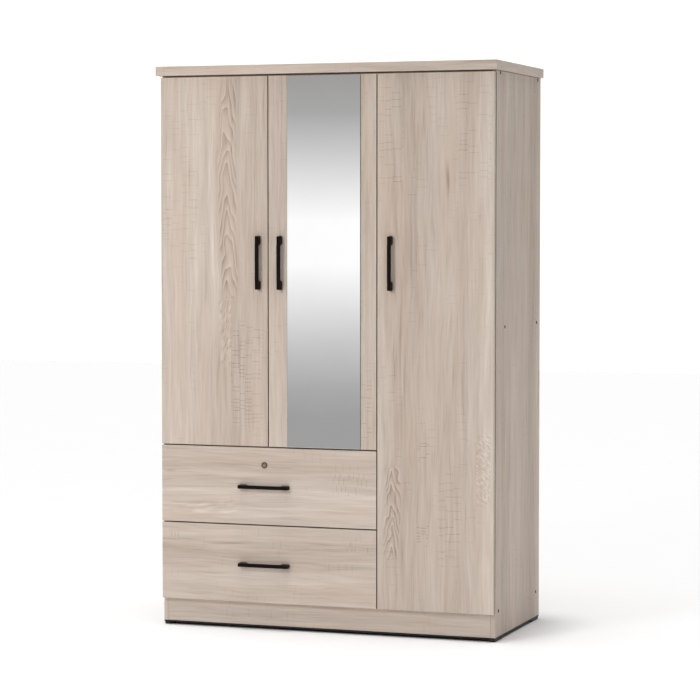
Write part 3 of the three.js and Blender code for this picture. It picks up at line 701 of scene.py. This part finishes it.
@dataclass(frozen=True)
class SilveredGlass:
    """Float glass silvered on its back: a true mirror whose ground edges show the green of the glass."""

    silver: str = "#F4F4F5"
    clouded: str = "#EDEDED"
    edge: str = "#9FB8AE"

    def build(self) -> bpy.types.Material:
        """Builds the material: silver where the glass faces forward, and ground glass on its edges.

        Returns:
            The material.
        """
        material, tree = new_material("silvered_float_glass")
        source = add_node(tree, "TexCoord")
        facing = add_node(tree, "SeparateXYZ", {0: source.outputs["Normal"]})
        size = add_node(tree, "Math", {0: facing.outputs["Y"]}, operation="ABSOLUTE")
        front = add_node(tree, "Math", {0: size, 1: 0.9}, operation="GREATER_THAN")
        noise = add_node(tree, "TexNoise", {
            "Vector": source.outputs["Object"], "Scale": 6.0, "Detail": 2.0})
        silver = add_node(tree, "Mix", {
            0: noise, 6: linear(self.clouded), 7: linear(self.silver)}, data_type="RGBA")
        colour = add_node(tree, "Mix", {
            0: front, 6: linear(self.edge), 7: silver.outputs[2]}, data_type="RGBA")
        wiped = add_node(tree, "MapRange", {
            "Value": noise, "From Min": 0.3, "From Max": 0.7, "To Min": 0.004, "To Max": 0.02})
        rough = add_node(tree, "Mix", {0: front, 2: 0.3, 3: wiped})
        return close_material(material, {
            "Base Color": colour.outputs[2], "Roughness": rough, "Metallic": front})


# ---- Small hardware --------------------------------------------------------------------------

class Recess(Enum):
    """The drive in a screw's head, as how far its outline swings between points and how many it has."""

    HEX = 6
    CROSS = 4
    PLAIN = 0


@dataclass(frozen=True)
class ScrewHead:
    """A low domed screw or nail head, seen from outside. All sizes are in metres."""

    radius: float
    height: float
    recess: Recess
    drive_radius: float = 0.0
    drive_depth: float = 0.0
    points: int = 24

    def outline(self) -> np.ndarray:
        """The drive's radius round the head.

        A hexagon's radius is its flat distance over the cosine of the angle from the nearest flat's
        middle. A cross swings as a power of the cosine of twice the angle.

        Returns:
            One radius for each point round the head.
        """
        angle = np.linspace(0, FULL_TURN, self.points, endpoint=False)
        if self.recess is Recess.HEX:
            off = (angle + math.pi / 6) % (math.pi / 3) - math.pi / 6
            return self.drive_radius / np.cos(off)
        if self.recess is Recess.CROSS:
            return self.drive_radius * (0.32 + 0.68 * np.cos(2 * angle) ** 4)
        return np.full(self.points, self.drive_radius or 0.3 * self.radius)

    def rings(self) -> np.ndarray:
        """The head as rings from its rim on the board, over its edge, and down into the drive.

        Returns:
            Places with the shape (rings, points, 3), where the third value is the height.
        """
        angle = np.linspace(0, FULL_TURN, self.points, endpoint=False)
        drive = self.outline()
        full = np.ones(self.points)
        rows = [
            (self.radius * full, 0.0),
            (self.radius * full, 0.55 * self.height),
            (0.9 * self.radius * full, 0.92 * self.height),
            (np.maximum(0.72 * self.radius, 1.04 * drive), self.height),
            (drive, self.height),
        ]
        if self.recess is not Recess.PLAIN:
            rows.append((0.86 * drive, self.height - self.drive_depth))
        radius = np.stack([row[0] for row in rows])
        height = np.stack([row[1] * full for row in rows])
        return np.stack([radius * np.cos(angle), radius * np.sin(angle), height], axis=-1)

    def build(self, name: str, centres: Sequence[tuple[float, float, float]],
              outward: tuple[float, float, float]) -> bpy.types.Object:
        """Sets one head at each centre, in one mesh.

        Args:
            name: the new piece's name.
            centres: where each head's rim meets the board.
            outward: the direction that the heads face.

        Returns:
            The new object.
        """
        normal = Vector(outward)
        across = normal.orthogonal().normalized()
        up = normal.cross(across)
        axes = np.array([across, up, normal])
        placed = self.rings() @ axes
        rings = np.asarray(centres, float)[:, None, None, :] + placed[None]
        return ring_stack(name, rings)


SIDE_SCREW = ScrewHead(5.4 * MM, 0.9 * MM, Recess.HEX, 2.2 * MM, 0.7 * MM)
HINGE_SCREW = ScrewHead(3.4 * MM, 1.3 * MM, Recess.CROSS, 2.4 * MM, 1.0 * MM)
HANDLE_SCREW = ScrewHead(4.2 * MM, 2.0 * MM, Recess.CROSS, 2.8 * MM, 1.5 * MM)
SOCKET_SCREW = ScrewHead(2.8 * MM, 1.1 * MM, Recess.CROSS, 2.0 * MM, 0.8 * MM, 16)
NAIL = ScrewHead(2.6 * MM, 0.5 * MM, Recess.PLAIN, points=10)


def superellipse(half_width: np.ndarray, half_height: np.ndarray, power: float, count: int) -> np.ndarray:
    """Rounded rectangles: cosine and sine of the angle, each raised to two over the power, keeping signs.

    Args:
        half_width: each section's half width.
        half_height: each section's half height.
        power: 2 gives an ellipse, and a higher power a squarer section.
        count: the points round the section.

    Returns:
        Places with the shape (sections, points, 2).
    """
    angle = np.linspace(0, FULL_TURN, count, endpoint=False)
    wide = np.sign(np.cos(angle)) * np.abs(np.cos(angle)) ** (2 / power)
    tall = np.sign(np.sin(angle)) * np.abs(np.sin(angle)) ** (2 / power)
    return np.stack([half_width[:, None] * wide, half_height[:, None] * tall], axis=-1)


# ---- Sub-assemblies --------------------------------------------------------------------------

@dataclass
class BowHandle:
    """A cast bow handle: a bar on two blocky feet, with soft corners, and the screws that hold it.

    It takes its length, width and projection from the CAD handle that it stands for.
    """

    node: str
    body: str
    board: str
    screw_pitch: float = 144 * MM
    foot: float = 28 * MM
    bar: float = 8.5 * MM
    fillet: float = 6 * MM
    corner: float = 3.2 * MM
    stations: int = 96
    around: int = 28

    def build(self, metals: dict[str, bpy.types.Material]) -> None:
        """Carries a rounded section along the handle, and sets two screws behind its board.

        Along the handle, the section's front is the projection, pulled in over the corner radius at
        both ends by a circle. Its back is the board under a foot and rises to the bar along a
        smoothstep over the fillet.

        Args:
            metals: the metal finishes by name.
        """
        low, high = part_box(self.node)
        upright = high.z - low.z > high.x - low.x
        half = (high.z - low.z if upright else high.x - low.x) / 2
        width = high.x - low.x if upright else high.z - low.z
        reach = high.y - low.y
        along = half * np.sin(np.linspace(-math.pi / 2, math.pi / 2, self.stations))
        knees = np.linspace(-1, 1, self.stations) * self.fillet
        inner = half - self.foot
        along = np.unique(np.round(np.concatenate([along, inner + knees, -inner - knees]), 6))
        past = np.clip(np.abs(along) - (half - self.corner), 0, self.corner)
        pulled = self.corner - np.sqrt(self.corner ** 2 - past ** 2)
        share = np.clip((inner + self.fillet / 2 - np.abs(along)) / self.fillet, 0, 1)
        back = (reach - self.bar) * share ** 2 * (3 - 2 * share)
        front = reach - pulled
        slim = 1 - 0.35 * (pulled / self.corner) ** 2
        section = superellipse(width / 2 * slim, (front - back) / 2, 7.0, self.around)
        depth = section[..., 1] + ((front + back) / 2)[:, None]
        run = np.broadcast_to(along[:, None], depth.shape)
        middle = (low + high) / 2
        across = section[..., 0]
        if upright:
            rings = np.stack([middle.x + across, high.y - depth, middle.z + run], axis=-1)
        else:
            rings = np.stack([middle.x - run, high.y - depth, middle.z + across], axis=-1)
        piece = ring_stack(self.node + "_bow", rings[None], 50)
        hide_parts(self.node)
        fit_piece(piece, self.body, metals["powder"])
        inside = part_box(self.board)[1].y
        spots = []
        for step in (-self.screw_pitch / 2, self.screw_pitch / 2):
            x, z = (0.0, step) if upright else (step, 0.0)
            spots.append((middle.x + x, inside, middle.z + z))
        screws = HANDLE_SCREW.build(self.node.replace("handle", "handle_screws"), spots, (0, 1, 0))
        fit_piece(screws, self.body, metals["nickel"])


@dataclass
class Hinge:
    """A concealed cup hinge: its CAD cup and arm, and the screws that hold them."""

    door: str
    level: str
    wall: float
    facing: int
    plate_thickness: float = 2.25 * MM
    plate_from_arm_end: float = 24 * MM
    flange_pitch: float = 46 * MM
    plate_pitch: float = 34 * MM

    def build(self, nickel: bpy.types.Material) -> None:
        """Dresses the cup and arm, and adds two screws to the cup's flange and two to the plate.

        Args:
            nickel: the finish of the hinge and its screws.
        """
        name = f"{self.door}_{self.level}"
        for node in ("hinge_cup_" + name, "hinge_arm_" + name):
            dress(NODES[node], nickel)
            ease_edges(node, 0.3 * MM, 1)
        low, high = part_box("hinge_cup_" + name)
        middle = (low + high) / 2
        flange = [(middle.x, high.y, middle.z + side * self.flange_pitch / 2) for side in (-1, 1)]
        screws = HINGE_SCREW.build("cup_screws_" + name, flange, (0, 1, 0))
        fit_piece(screws, "door_" + self.door, nickel)

        low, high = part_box("hinge_arm_" + name)
        face_x = self.wall + self.facing * self.plate_thickness
        plate_y = high.y - self.plate_from_arm_end
        height = (low.z + high.z) / 2
        plate = [(face_x, plate_y, height + side * self.plate_pitch / 2) for side in (-1, 1)]
        screws = HINGE_SCREW.build("plate_screws_" + name, plate, (self.facing, 0, 0))
        fit_piece(screws, "carcass", nickel)


@dataclass
class Door:
    """One door: its board, handle and hinges."""

    name: str
    wall: float
    facing: int
    seed: float
    patches: tuple[Patch, ...]

    def build(self, metals: dict[str, bpy.types.Material]) -> None:
        """Builds and dresses the door.

        Args:
            metals: the metal finishes by name.
        """
        board = "door_panel_" + self.name
        body = "door_" + self.name
        dress(NODES[board], SawnOak(board, Grain.UPRIGHT_FRONT, self.seed, self.patches).build())
        ease_edges(board, BOARD_EDGE)
        BowHandle("handle_" + self.name, body, board).build(metals)
        for level in ("low", "mid", "high"):
            Hinge(self.name, level, self.wall, self.facing).build(metals["nickel"])


@dataclass
class Drawer:
    """One drawer: its front, handle, foil-wrapped sides, bottom and runners."""

    name: str
    seed: float
    patches: tuple[Patch, ...]

    def build(self, metals: dict[str, bpy.types.Material], foil: bpy.types.Material,
              hardboard: bpy.types.Material, nylon: bpy.types.Material) -> None:
        """Builds and dresses the drawer.

        Args:
            metals: the metal finishes by name.
            foil: the drawer sides' finish.
            hardboard: the drawer bottom's finish.
            nylon: the runners' finish.
        """
        board = "drawer_front_" + self.name
        body = "drawer_" + self.name
        dress(NODES[board], SawnOak(board, Grain.LEVEL_FRONT, self.seed, self.patches).build())
        ease_edges(board, BOARD_EDGE)
        dress(NODES["drawer_wrap_" + self.name], foil)
        ease_edges("drawer_wrap_" + self.name, BOARD_EDGE)
        dress(NODES["drawer_bottom_" + self.name], hardboard)
        for side in ("left", "right"):
            dress(NODES[f"runner_{self.name}_{side}"], nylon)
            ease_edges(f"runner_{self.name}_{side}", 1.0 * MM)
        BowHandle("handle_drawer_" + self.name, body, board).build(metals)


@dataclass
class CamLock:
    """The upper drawer's cam lock: a flanged housing, and a plug with a key slot and a flat cam."""

    slot_length: float = 7.6 * MM
    slot_width: float = 2.4 * MM
    slot_depth: float = 4.0 * MM
    ward: float = 0.7 * MM
    slot_turn: float = 28.0
    around: int = 48

    def build(self, plug_metal: bpy.types.Material, housing_metal: bpy.types.Material) -> None:
        """Dresses the housing and makes the keyed plug and its cam in place of the plain CAD ones.

        Args:
            plug_metal: the plug's and cam's finish.
            housing_metal: the housing's finish.
        """
        dress(NODES["lock_housing"], housing_metal)
        ease_edges("lock_housing", 0.5 * MM, 3)
        housing_low, housing_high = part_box("lock_housing")
        low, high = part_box("lock_plug")
        centre = (housing_low + housing_high) / 2
        radius = centre.x - low.x
        plug = self.plug(centre.x, centre.z, low.y, high.y, radius)
        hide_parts("lock_plug")
        fit_piece(plug, "lock", plug_metal)
        cam = self.cam(centre.x, centre.z, high.x, high.y, high.z - low.z)
        fit_piece(cam, "lock", plug_metal)

    def plug(self, x: float, z: float, front: float, back: float, radius: float) -> bpy.types.Object:
        """The plug, as rings from its back over its rounded rim and down into the key slot.

        The slot's outline is a superellipse, far longer than it is wide, with its middle drawn in
        by a ward, which is a narrow bell curve of the height.

        Args:
            x, z: the plug's axis.
            front, back: its ends in Y.
            radius: its outer radius.

        Returns:
            The new object.
        """
        angle = np.linspace(0, FULL_TURN, self.around, endpoint=False)
        circle = np.stack([np.cos(angle), np.sin(angle)], axis=-1)
        half_width, half_length = np.array([[self.slot_width / 2], [self.slot_length / 2]])
        slot = superellipse(half_width, half_length, 5.0, self.around)[0]
        slot[:, 0] += self.ward * np.exp(-(slot[:, 1] / (0.9 * MM)) ** 2)
        lean = math.radians(self.slot_turn)
        slot = slot @ np.array([[math.cos(lean), math.sin(lean)], [-math.sin(lean), math.cos(lean)]])
        rows = [
            (radius * circle, back),
            (radius * circle, front + 0.5 * MM),
            ((radius - 0.15 * MM) * circle, front + 0.15 * MM),
            ((radius - 0.5 * MM) * circle, front),
            (1.15 * slot, front),
            (slot, front + 0.15 * MM),
            (slot, front + self.slot_depth),
        ]
        rings = np.stack([
            np.column_stack([x + outline[:, 0], np.full(self.around, y), z + outline[:, 1]])
            for outline, y in rows])
        return ring_stack("lock_plug_keyed", rings[None])

    def cam(self, x: float, z: float, tip: float, back: float, width: float) -> bpy.types.Object:
        """The cam: a flat tongue with round ends, a little rounded along its edges.

        Args:
            x, z: the plug's axis.
            tip: the far end in X.
            back: the cam's back face in Y.
            width: its width in Z.

        Returns:
            The new object.
        """
        angle = np.linspace(0, FULL_TURN, self.around, endpoint=False)
        half = width / 2
        length = tip - x - half
        start = -half * 0.4
        run = np.where(np.cos(angle) > 0, length, start)
        thickness = 2.5 * MM
        rows = []
        for inset, depth in ((0.3, 0.0), (0.0, 0.3), (0.0, 2.2), (0.3, 2.5)):
            size = half - inset * MM
            rows.append(np.column_stack([
                x + run + size * np.cos(angle),
                np.full(self.around, back - thickness + depth * MM),
                z + size * np.sin(angle)]))
        return ring_stack("lock_cam", np.stack(rows)[None])


@dataclass
class Carcass:
    """The fixed boards, the back sheet and its nails, and the socket screws through the side panels."""

    sub_top_screws: int = 4
    sub_top_inset: tuple[float, float] = (90 * MM, 50 * MM)
    nail_pitch: float = 150 * MM
    nail_inset: float = 8 * MM
    # Depth behind the carcass front and height above the panel's lower end of each side screw.
    side_screws: tuple[tuple[float, float], ...] = (
        (0.041, 1.792), (0.483, 1.792), (0.100, 0.987), (0.478, 0.987), (0.036, 0.083), (0.480, 0.083))

    def build(self, metals: dict[str, bpy.types.Material], hardboard: bpy.types.Material) -> None:
        """Dresses the boards and adds screws and nails.

        Args:
            metals: the metal finishes by name.
            hardboard: the back sheet's finish.
        """
        for number, (board, grain, patches) in enumerate(CARCASS_BOARDS):
            dress(NODES[board], SawnOak(board, grain, 3.7 + 5.3 * number, patches).build())
            ease_edges(board, PLINTH_EDGE if board.startswith("plinth") else BOARD_EDGE)
        dress(NODES["back_panel"], hardboard)
        for side, sign in (("left", -1), ("right", 1)):
            low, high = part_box("side_panel_" + side)
            face = high.x if sign > 0 else low.x
            spots = [(face, low.y + depth, low.z + height) for depth, height in self.side_screws]
            screws = SIDE_SCREW.build("side_screws_" + side, spots, (sign, 0, 0))
            fit_piece(screws, "carcass", metals["burnished"])
        self.nails(metals["zinc"])
        self.top_screws(metals["nickel"])

    def nails(self, zinc: bpy.types.Material) -> None:
        """Nails round the back sheet, in even steps near the pitch along each side.

        Args:
            zinc: the nails' finish.
        """
        low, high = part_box("back_panel")
        inset = self.nail_inset
        wide, tall = (round((high[axis] - low[axis]) / self.nail_pitch) + 1 for axis in (0, 2))
        columns = np.linspace(low.x + inset, high.x - inset, wide)
        rows = np.linspace(low.z + inset, high.z - inset, tall)
        partition = sum(corner.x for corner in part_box("partition_panel")) / 2
        spots = [(x, high.y, z) for x in columns for z in (rows[0], rows[-1])]
        spots += [(x, high.y, z) for x in (columns[0], partition, columns[-1]) for z in rows[1:-1]]
        fit_piece(NAIL.build("back_nails", spots, (0, 1, 0)), "carcass", zinc)

    def top_screws(self, nickel: bpy.types.Material) -> None:
        """Screws up through the sub-top panel, which hold the top board from inside.

        Args:
            nickel: the screws' finish.
        """
        low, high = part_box("sub_top_panel")
        side, end = self.sub_top_inset
        columns = np.linspace(low.x + side, high.x - side, self.sub_top_screws)
        spots = [(x, y, low.z) for x in columns for y in (low.y + end, high.y - end)]
        screws = HANDLE_SCREW.build("sub_top_screws", spots, (0, 0, -1))
        fit_piece(screws, "carcass", nickel)


@dataclass
class ShelfPins:
    """Four nickel pins under a loose shelf, each a short rod with a flat tongue under the board."""

    shelf: str
    radius: float = 2.5 * MM
    reach: float = 9 * MM
    inset: float = 55 * MM
    around: int = 16

    def build(self, nickel: bpy.types.Material) -> None:
        """Carries a circle out from the bay's wall under each corner of the shelf.

        Args:
            nickel: the pins' finish.
        """
        low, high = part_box(self.shelf)
        wall_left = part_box("partition_panel")[1].x
        wall_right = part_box("side_panel_right")[0].x
        angle = np.linspace(0, FULL_TURN, self.around, endpoint=False)
        steps = np.array([0.0, self.reach - 0.8 * MM, self.reach])
        sizes = np.array([self.radius, self.radius, self.radius - 0.6 * MM])
        shells = []
        for wall, sign in ((wall_left, 1), (wall_right, -1)):
            for y in (low.y + self.inset, high.y - self.inset):
                x = np.broadcast_to((wall + sign * steps)[:, None], (3, self.around))
                side = sizes[:, None] * np.cos(angle)
                rise = sizes[:, None] * np.sin(angle) * sign
                shells.append(np.stack([x, y + side, low.z - self.radius - 0.1 * MM + rise], axis=-1))
        fit_piece(ring_stack("pins_" + self.shelf, np.stack(shells)), "carcass", nickel)


@dataclass
class Rail:
    """The hanging rail in its two cup-shaped sockets, each held by two screws."""

    screw_offset: float = 17 * MM
    base: float = 3 * MM

    def build(self, chrome: bpy.types.Material) -> None:
        """Dresses the rail and sockets and adds the sockets' screws.

        Args:
            chrome: the finish of the rail, sockets and screws.
        """
        for node in ("hanging_rail", "rail_socket_left", "rail_socket_right"):
            dress(NODES[node], chrome)
            ease_edges(node, 0.4 * MM)
        for side, facing in (("left", 1), ("right", -1)):
            low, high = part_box("rail_socket_" + side)
            middle = (low + high) / 2
            face = low.x + self.base if facing > 0 else high.x - self.base
            spots = [(face, middle.y, middle.z + sign * self.screw_offset) for sign in (-1, 1)]
            screws = SOCKET_SCREW.build("socket_screws_" + side, spots, (facing, 0, 0))
            fit_piece(screws, "carcass", chrome)


@dataclass
class Base:
    """The black strip under the panels, whose black also paints the shade under the cabinet, and the four
    glides.
    """

    def build(self, plastic: bpy.types.Material) -> None:
        """Dresses the strip and glides.

        Args:
            plastic: their finish.
        """
        dress(NODES["base_edge_strip"], plastic)
        ease_edges("base_edge_strip", 0.5 * MM)
        for end in ("front", "back"):
            for side in ("left", "right"):
                dress(NODES[f"glide_{end}_{side}"], plastic)
                ease_edges(f"glide_{end}_{side}", 1.2 * MM, 3)


@dataclass
class Studio:
    """A white sweep in soft light from the front left and above, and the camera."""

    floor_half: float = 14.0
    floor_front: float = 4.0
    floor_tone: float = 0.72
    floor_bounce: float = 0.69
    ambient: float = 0.32
    glow: float = 1.12
    key_power: float = 43.0
    key_size: float = 1.0
    key_place: tuple[float, float, float] = (-1.15, -3.25, 2.30)
    key_aim: tuple[float, float, float] = (0.0, -0.26, 0.95)
    overhead_strength: float = 1.26
    overhead_spread: float = 7.0
    dome_strength: float = 2.01
    dome_spread: float = 60.0
    camera_place: tuple[float, float, float] = (2.837, -7.987, 1.340)
    camera_turn: float = 19.57
    camera_pitch: float = -2.907
    lens: float = 131.34

    def sun(self, name: str, toward: tuple[float, float, float], strength: float, spread: float) -> None:
        """Adds a soft sun.

        Args:
            name: the light's name.
            toward: the direction from the wardrobe to the light.
            strength: its irradiance in watts per square metre.
            spread: how wide it looks, in degrees, which sets how soft its shadows are.
        """
        light = bpy.data.lights.new(name, "SUN")
        light.energy = strength
        light.angle = math.radians(spread)
        lamp = bpy.data.objects.new(name, light)
        lamp.rotation_euler = Vector(toward).to_track_quat("Z", "Y").to_euler()
        bpy.context.scene.collection.objects.link(lamp)

    def key(self) -> None:
        """Adds the key: a round softbox in front, to the left and above, left out of reflections."""
        light = bpy.data.lights.new("key_softbox", "AREA")
        light.shape = "DISK"
        light.size = self.key_size
        light.energy = self.key_power
        lamp = bpy.data.objects.new("key_softbox", light)
        lamp.location = self.key_place
        away = Vector(self.key_place) - Vector(self.key_aim)
        lamp.rotation_euler = away.to_track_quat("Z", "Y").to_euler()
        lamp.visible_glossy = False
        lamp.visible_camera = False
        bpy.context.scene.collection.objects.link(lamp)

    def build(self) -> None:
        """Builds the floor, lights, surroundings and camera."""
        self.floor()
        self.key()
        self.sun("overhead_softbox", (-0.05, -0.03, 1.0), self.overhead_strength, self.overhead_spread)
        self.sun("overhead_dome", (0.0, 0.0, 1.0), self.dome_strength, self.dome_spread)
        self.surroundings()
        self.camera()
        bpy.context.scene.view_settings.view_transform = "Standard"

    def floor(self) -> None:
        """Lays the matt floor, a sheet at Z 0 whose tone wanders by a hundredth.

        It throws back a little less light than it shows. It ends a little way in front, so that the
        mirror shows the studio and not the floor.
        """
        half = self.floor_half
        sides, depths = np.linspace(-half, half, 9), np.linspace(-self.floor_front, half, 9)
        x, y = np.meshgrid(sides, depths, indexing="ij")
        index = np.arange(x.size).reshape(x.shape)
        quads = np.stack([index[:-1, :-1], index[1:, :-1], index[1:, 1:], index[:-1, 1:]], axis=-1)
        places = np.stack([x, y, np.zeros_like(x)], axis=-1).reshape(-1, 3)
        mesh = bpy.data.meshes.new("studio_floor")
        mesh.from_pydata(places.tolist(), [], quads.reshape(-1, 4).tolist())
        floor = bpy.data.objects.new("studio_floor", mesh)
        bpy.context.scene.collection.objects.link(floor)
        material, tree = new_material("matt_studio_floor")
        source = add_node(tree, "TexCoord")
        noise = add_node(tree, "TexNoise", {"Vector": source.outputs["Object"], "Scale": 3.0})
        tone = add_node(tree, "MapRange", {
            "Value": noise, "To Min": self.floor_tone - 0.005, "To Max": self.floor_tone + 0.005})
        path = add_node(tree, "LightPath")
        shown = add_node(tree, "Mix", {
            0: path.outputs["Is Camera Ray"], 2: self.floor_bounce, 3: tone})
        dress(floor, close_material(material, {
            "Base Color": shown, "Roughness": 1.0, "Specular IOR Level": 0.0}))

    def surroundings(self) -> None:
        """Sets what is around the floor: white behind, even soft light, and a graded wall for mirrors.

        Reflections see a studio that is bright at eye level and falls to grey above and below, by the
        height of the ray's direction.
        """
        world = bpy.data.worlds.new("studio")
        world.use_nodes = True
        bpy.context.scene.world = world
        tree = world.node_tree
        tree.nodes.clear()
        path = add_node(tree, "LightPath")
        source = add_node(tree, "TexCoord")
        direction = add_node(tree, "SeparateXYZ", {0: source.outputs["Generated"]})
        height = add_node(tree, "MapRange", {
            "Value": direction.outputs["Z"], "From Min": -GLOW_REACH, "From Max": GLOW_REACH})
        ramp = add_node(tree, "ValToRGB", {0: height}, [
            (0.5 + place / (2 * GLOW_REACH), code) for place, code in GLOW])
        ambient = (*[self.ambient / self.glow] * 3, 1.0)
        seen = add_node(tree, "Mix", {
            0: path.outputs["Is Glossy Ray"], 6: ambient, 7: ramp}, data_type="RGBA")
        sight = add_node(tree, "Mix", {
            0: path.outputs["Is Camera Ray"], 6: seen.outputs[2], 7: (1.0, 1.0, 1.0, 1.0)}, data_type="RGBA")
        light = add_node(tree, "Background", {"Color": sight.outputs[2], "Strength": self.glow})
        add_node(tree, "OutputWorld", {"Surface": light})

    def camera(self) -> None:
        """Sets the camera at standing chest height, in front and to the right, looking a little down."""
        lens = bpy.data.cameras.new("view")
        lens.lens = self.lens
        lens.sensor_width = 36.0
        lens.clip_end = 100.0
        camera = bpy.data.objects.new("view", lens)
        camera.location = self.camera_place
        camera.rotation_euler = (
            math.radians(90 + self.camera_pitch), 0.0, math.radians(self.camera_turn))
        bpy.context.scene.collection.objects.link(camera)
        bpy.context.scene.camera = camera


# What a mirror sees in the studio: the height of the ray's direction, up to the reach of the ramp
# above and below level, and the tone there.
GLOW_REACH = 0.10
GLOW = (
    (-0.077, "#A0A0A0"), (-0.066, "#ABABAA"), (-0.048, "#C9C9C9"), (-0.033, "#E5E5E5"), (-0.017, "#FFFFFF"),
    (0.0, "#FFFFFF"), (0.013, "#E8E8E8"), (0.028, "#C9C9C9"), (0.042, "#A9A9A8"), (0.056, "#A09F9D"))

# How wide the boards' edges are rounded, and the plinth's, which are rounded more.
BOARD_EDGE = 0.5 * MM
PLINTH_EDGE = 1.2 * MM

# Each board's own patches, as the fields of Patch in their order.

LEFT_DOOR_PATCHES = (
    Patch(Pattern.STREAK, -135, 60, 15, 1150, 0.20),
    Patch(Pattern.STREAK, -103, 120, 12, 900, 0.18),
    Patch(Pattern.STREAK, 0, 60, 58, 1160, -0.12),
    Patch(Pattern.ARCHES, 58, 240, 66, 760, 0.42, 70),
    Patch(Pattern.RIPPLES, 44, -230, 50, 240, 0.22, 26, 18),
    Patch(Pattern.SAW_CUTS, -110, 250, 130, 620, 0.18, 24, 30),
    Patch(Pattern.SAW_CUTS, 124, -364, 122, 380, 0.24, 13, 24),
)
MIRROR_DOOR_PATCHES = (
    Patch(Pattern.STREAK, -150, 60, 18, 1150, 0.12),
    Patch(Pattern.SAW_CUTS, 152, -480, 50, 200, 0.24, 14, 22),
)
RIGHT_DOOR_PATCHES = (
    Patch(Pattern.SAW_CUTS, -145, 660, 90, 360, 0.23, 22, 28),
    Patch(Pattern.SAW_CUTS, 130, 660, 130, 360, 0.22, 22, 34),
    Patch(Pattern.STREAK, 42, 527, 20, 170, 0.5),
    Patch(Pattern.STREAK, -112, 30, 11, 420, 0.26),
    Patch(Pattern.SAW_CUTS, -33, -340, 44, 80, 0.30, 9, 20),
    Patch(Pattern.SAW_CUTS, -33, -612, 44, 80, 0.30, 9, 20),
    Patch(Pattern.SAW_CUTS, 60, -560, 90, 380, 0.22, 24, 30),
    Patch(Pattern.RIPPLES, 168, -400, 46, 250, 0.28, 16, -38),
    Patch(Pattern.ARCHES, -137, -545, 60, 330, 0.42, 48),
)
UPPER_DRAWER_PATCHES = (
    Patch(Pattern.RIPPLES, -73, -230, 44, 260, 0.16, 60, 6),
    Patch(Pattern.SAW_CUTS, 5, 295, 76, 150, 0.23, 16, 22),
    Patch(Pattern.STREAK, 36, -345, 16, 60, 0.34),
    Patch(Pattern.STREAK, -60, -220, 15, 330, 0.26),
    Patch(Pattern.STREAK, 30, -60, 20, 560, -0.20),
)
LOWER_DRAWER_PATCHES = (
    Patch(Pattern.SAW_CUTS, 83, -338, 26, 60, 0.27, 12, 16),
    Patch(Pattern.SAW_CUTS, 68, 320, 48, 100, 0.26, 14, 20),
    Patch(Pattern.STREAK, 59, -133, 12, 220, 0.30),
    Patch(Pattern.STREAK, -44, -219, 12, 260, 0.28),
    Patch(Pattern.STREAK, -70, 120, 16, 560, -0.18),
)
# The fixed boards: each one's CAD node, how its grain lies, and its own patches.
CARCASS_BOARDS = (
    ("side_panel_left", Grain.UPRIGHT_SIDE, ()),
    ("side_panel_right", Grain.UPRIGHT_SIDE, ()),
    ("bottom_panel", Grain.LEVEL_FLAT, ()),
    ("sub_top_panel", Grain.LEVEL_FLAT, ()),
    ("partition_panel", Grain.UPRIGHT_SIDE, ()),
    ("top_board", Grain.LEVEL_FLAT, ()),
    ("plinth_front", Grain.LEVEL_FRONT, ()),
    ("plinth_back", Grain.LEVEL_FRONT, ()),
    ("drawer_bay_shelf", Grain.LEVEL_FLAT, ()),
    ("mid_shelf", Grain.LEVEL_FLAT, ()),
    ("lower_shelf", Grain.LEVEL_FLAT, ()),
    ("upper_shelf", Grain.LEVEL_FLAT, ()),
)


def main() -> None:
    """Builds the sub-assemblies in order, then the studio."""
    logging.basicConfig(level=logging.INFO, format="%(message)s")
    metals = {
        "powder": POWDER_COAT.build(),
        "nickel": NICKEL.build(),
        "burnished": BURNISHED.build(),
        "zinc": ZINC.build(),
    }
    chrome = CHROME.build()
    hardboard = Hardboard().build()
    Carcass().build(metals, hardboard)
    for shelf in ("lower_shelf", "upper_shelf"):
        ShelfPins(shelf).build(metals["nickel"])
    Rail().build(chrome)
    Base().build(POLYPROPYLENE.build())

    left_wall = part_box("side_panel_left")[1].x
    partition_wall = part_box("partition_panel")[0].x
    right_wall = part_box("side_panel_right")[0].x
    Door("left", left_wall, 1, 11.3, LEFT_DOOR_PATCHES).build(metals)
    Door("mirror", partition_wall, -1, 23.9, MIRROR_DOOR_PATCHES).build(metals)
    Door("right", right_wall, -1, 37.1, RIGHT_DOOR_PATCHES).build(metals)
    dress(NODES["mirror_glass"], SilveredGlass().build())
    ease_edges("mirror_glass", 0.6 * MM)

    foil = LinenFoil().build()
    nylon = NYLON.build()
    Drawer("upper", 52.7, UPPER_DRAWER_PATCHES).build(metals, foil, hardboard, nylon)
    Drawer("lower", 66.1, LOWER_DRAWER_PATCHES).build(metals, foil, hardboard, nylon)
    CamLock().build(PLUG_NICKEL_TINTED.build(), HOUSING_PLATE_SHADED.build())
    Studio().build()


if __name__ == "__main__":
    main()
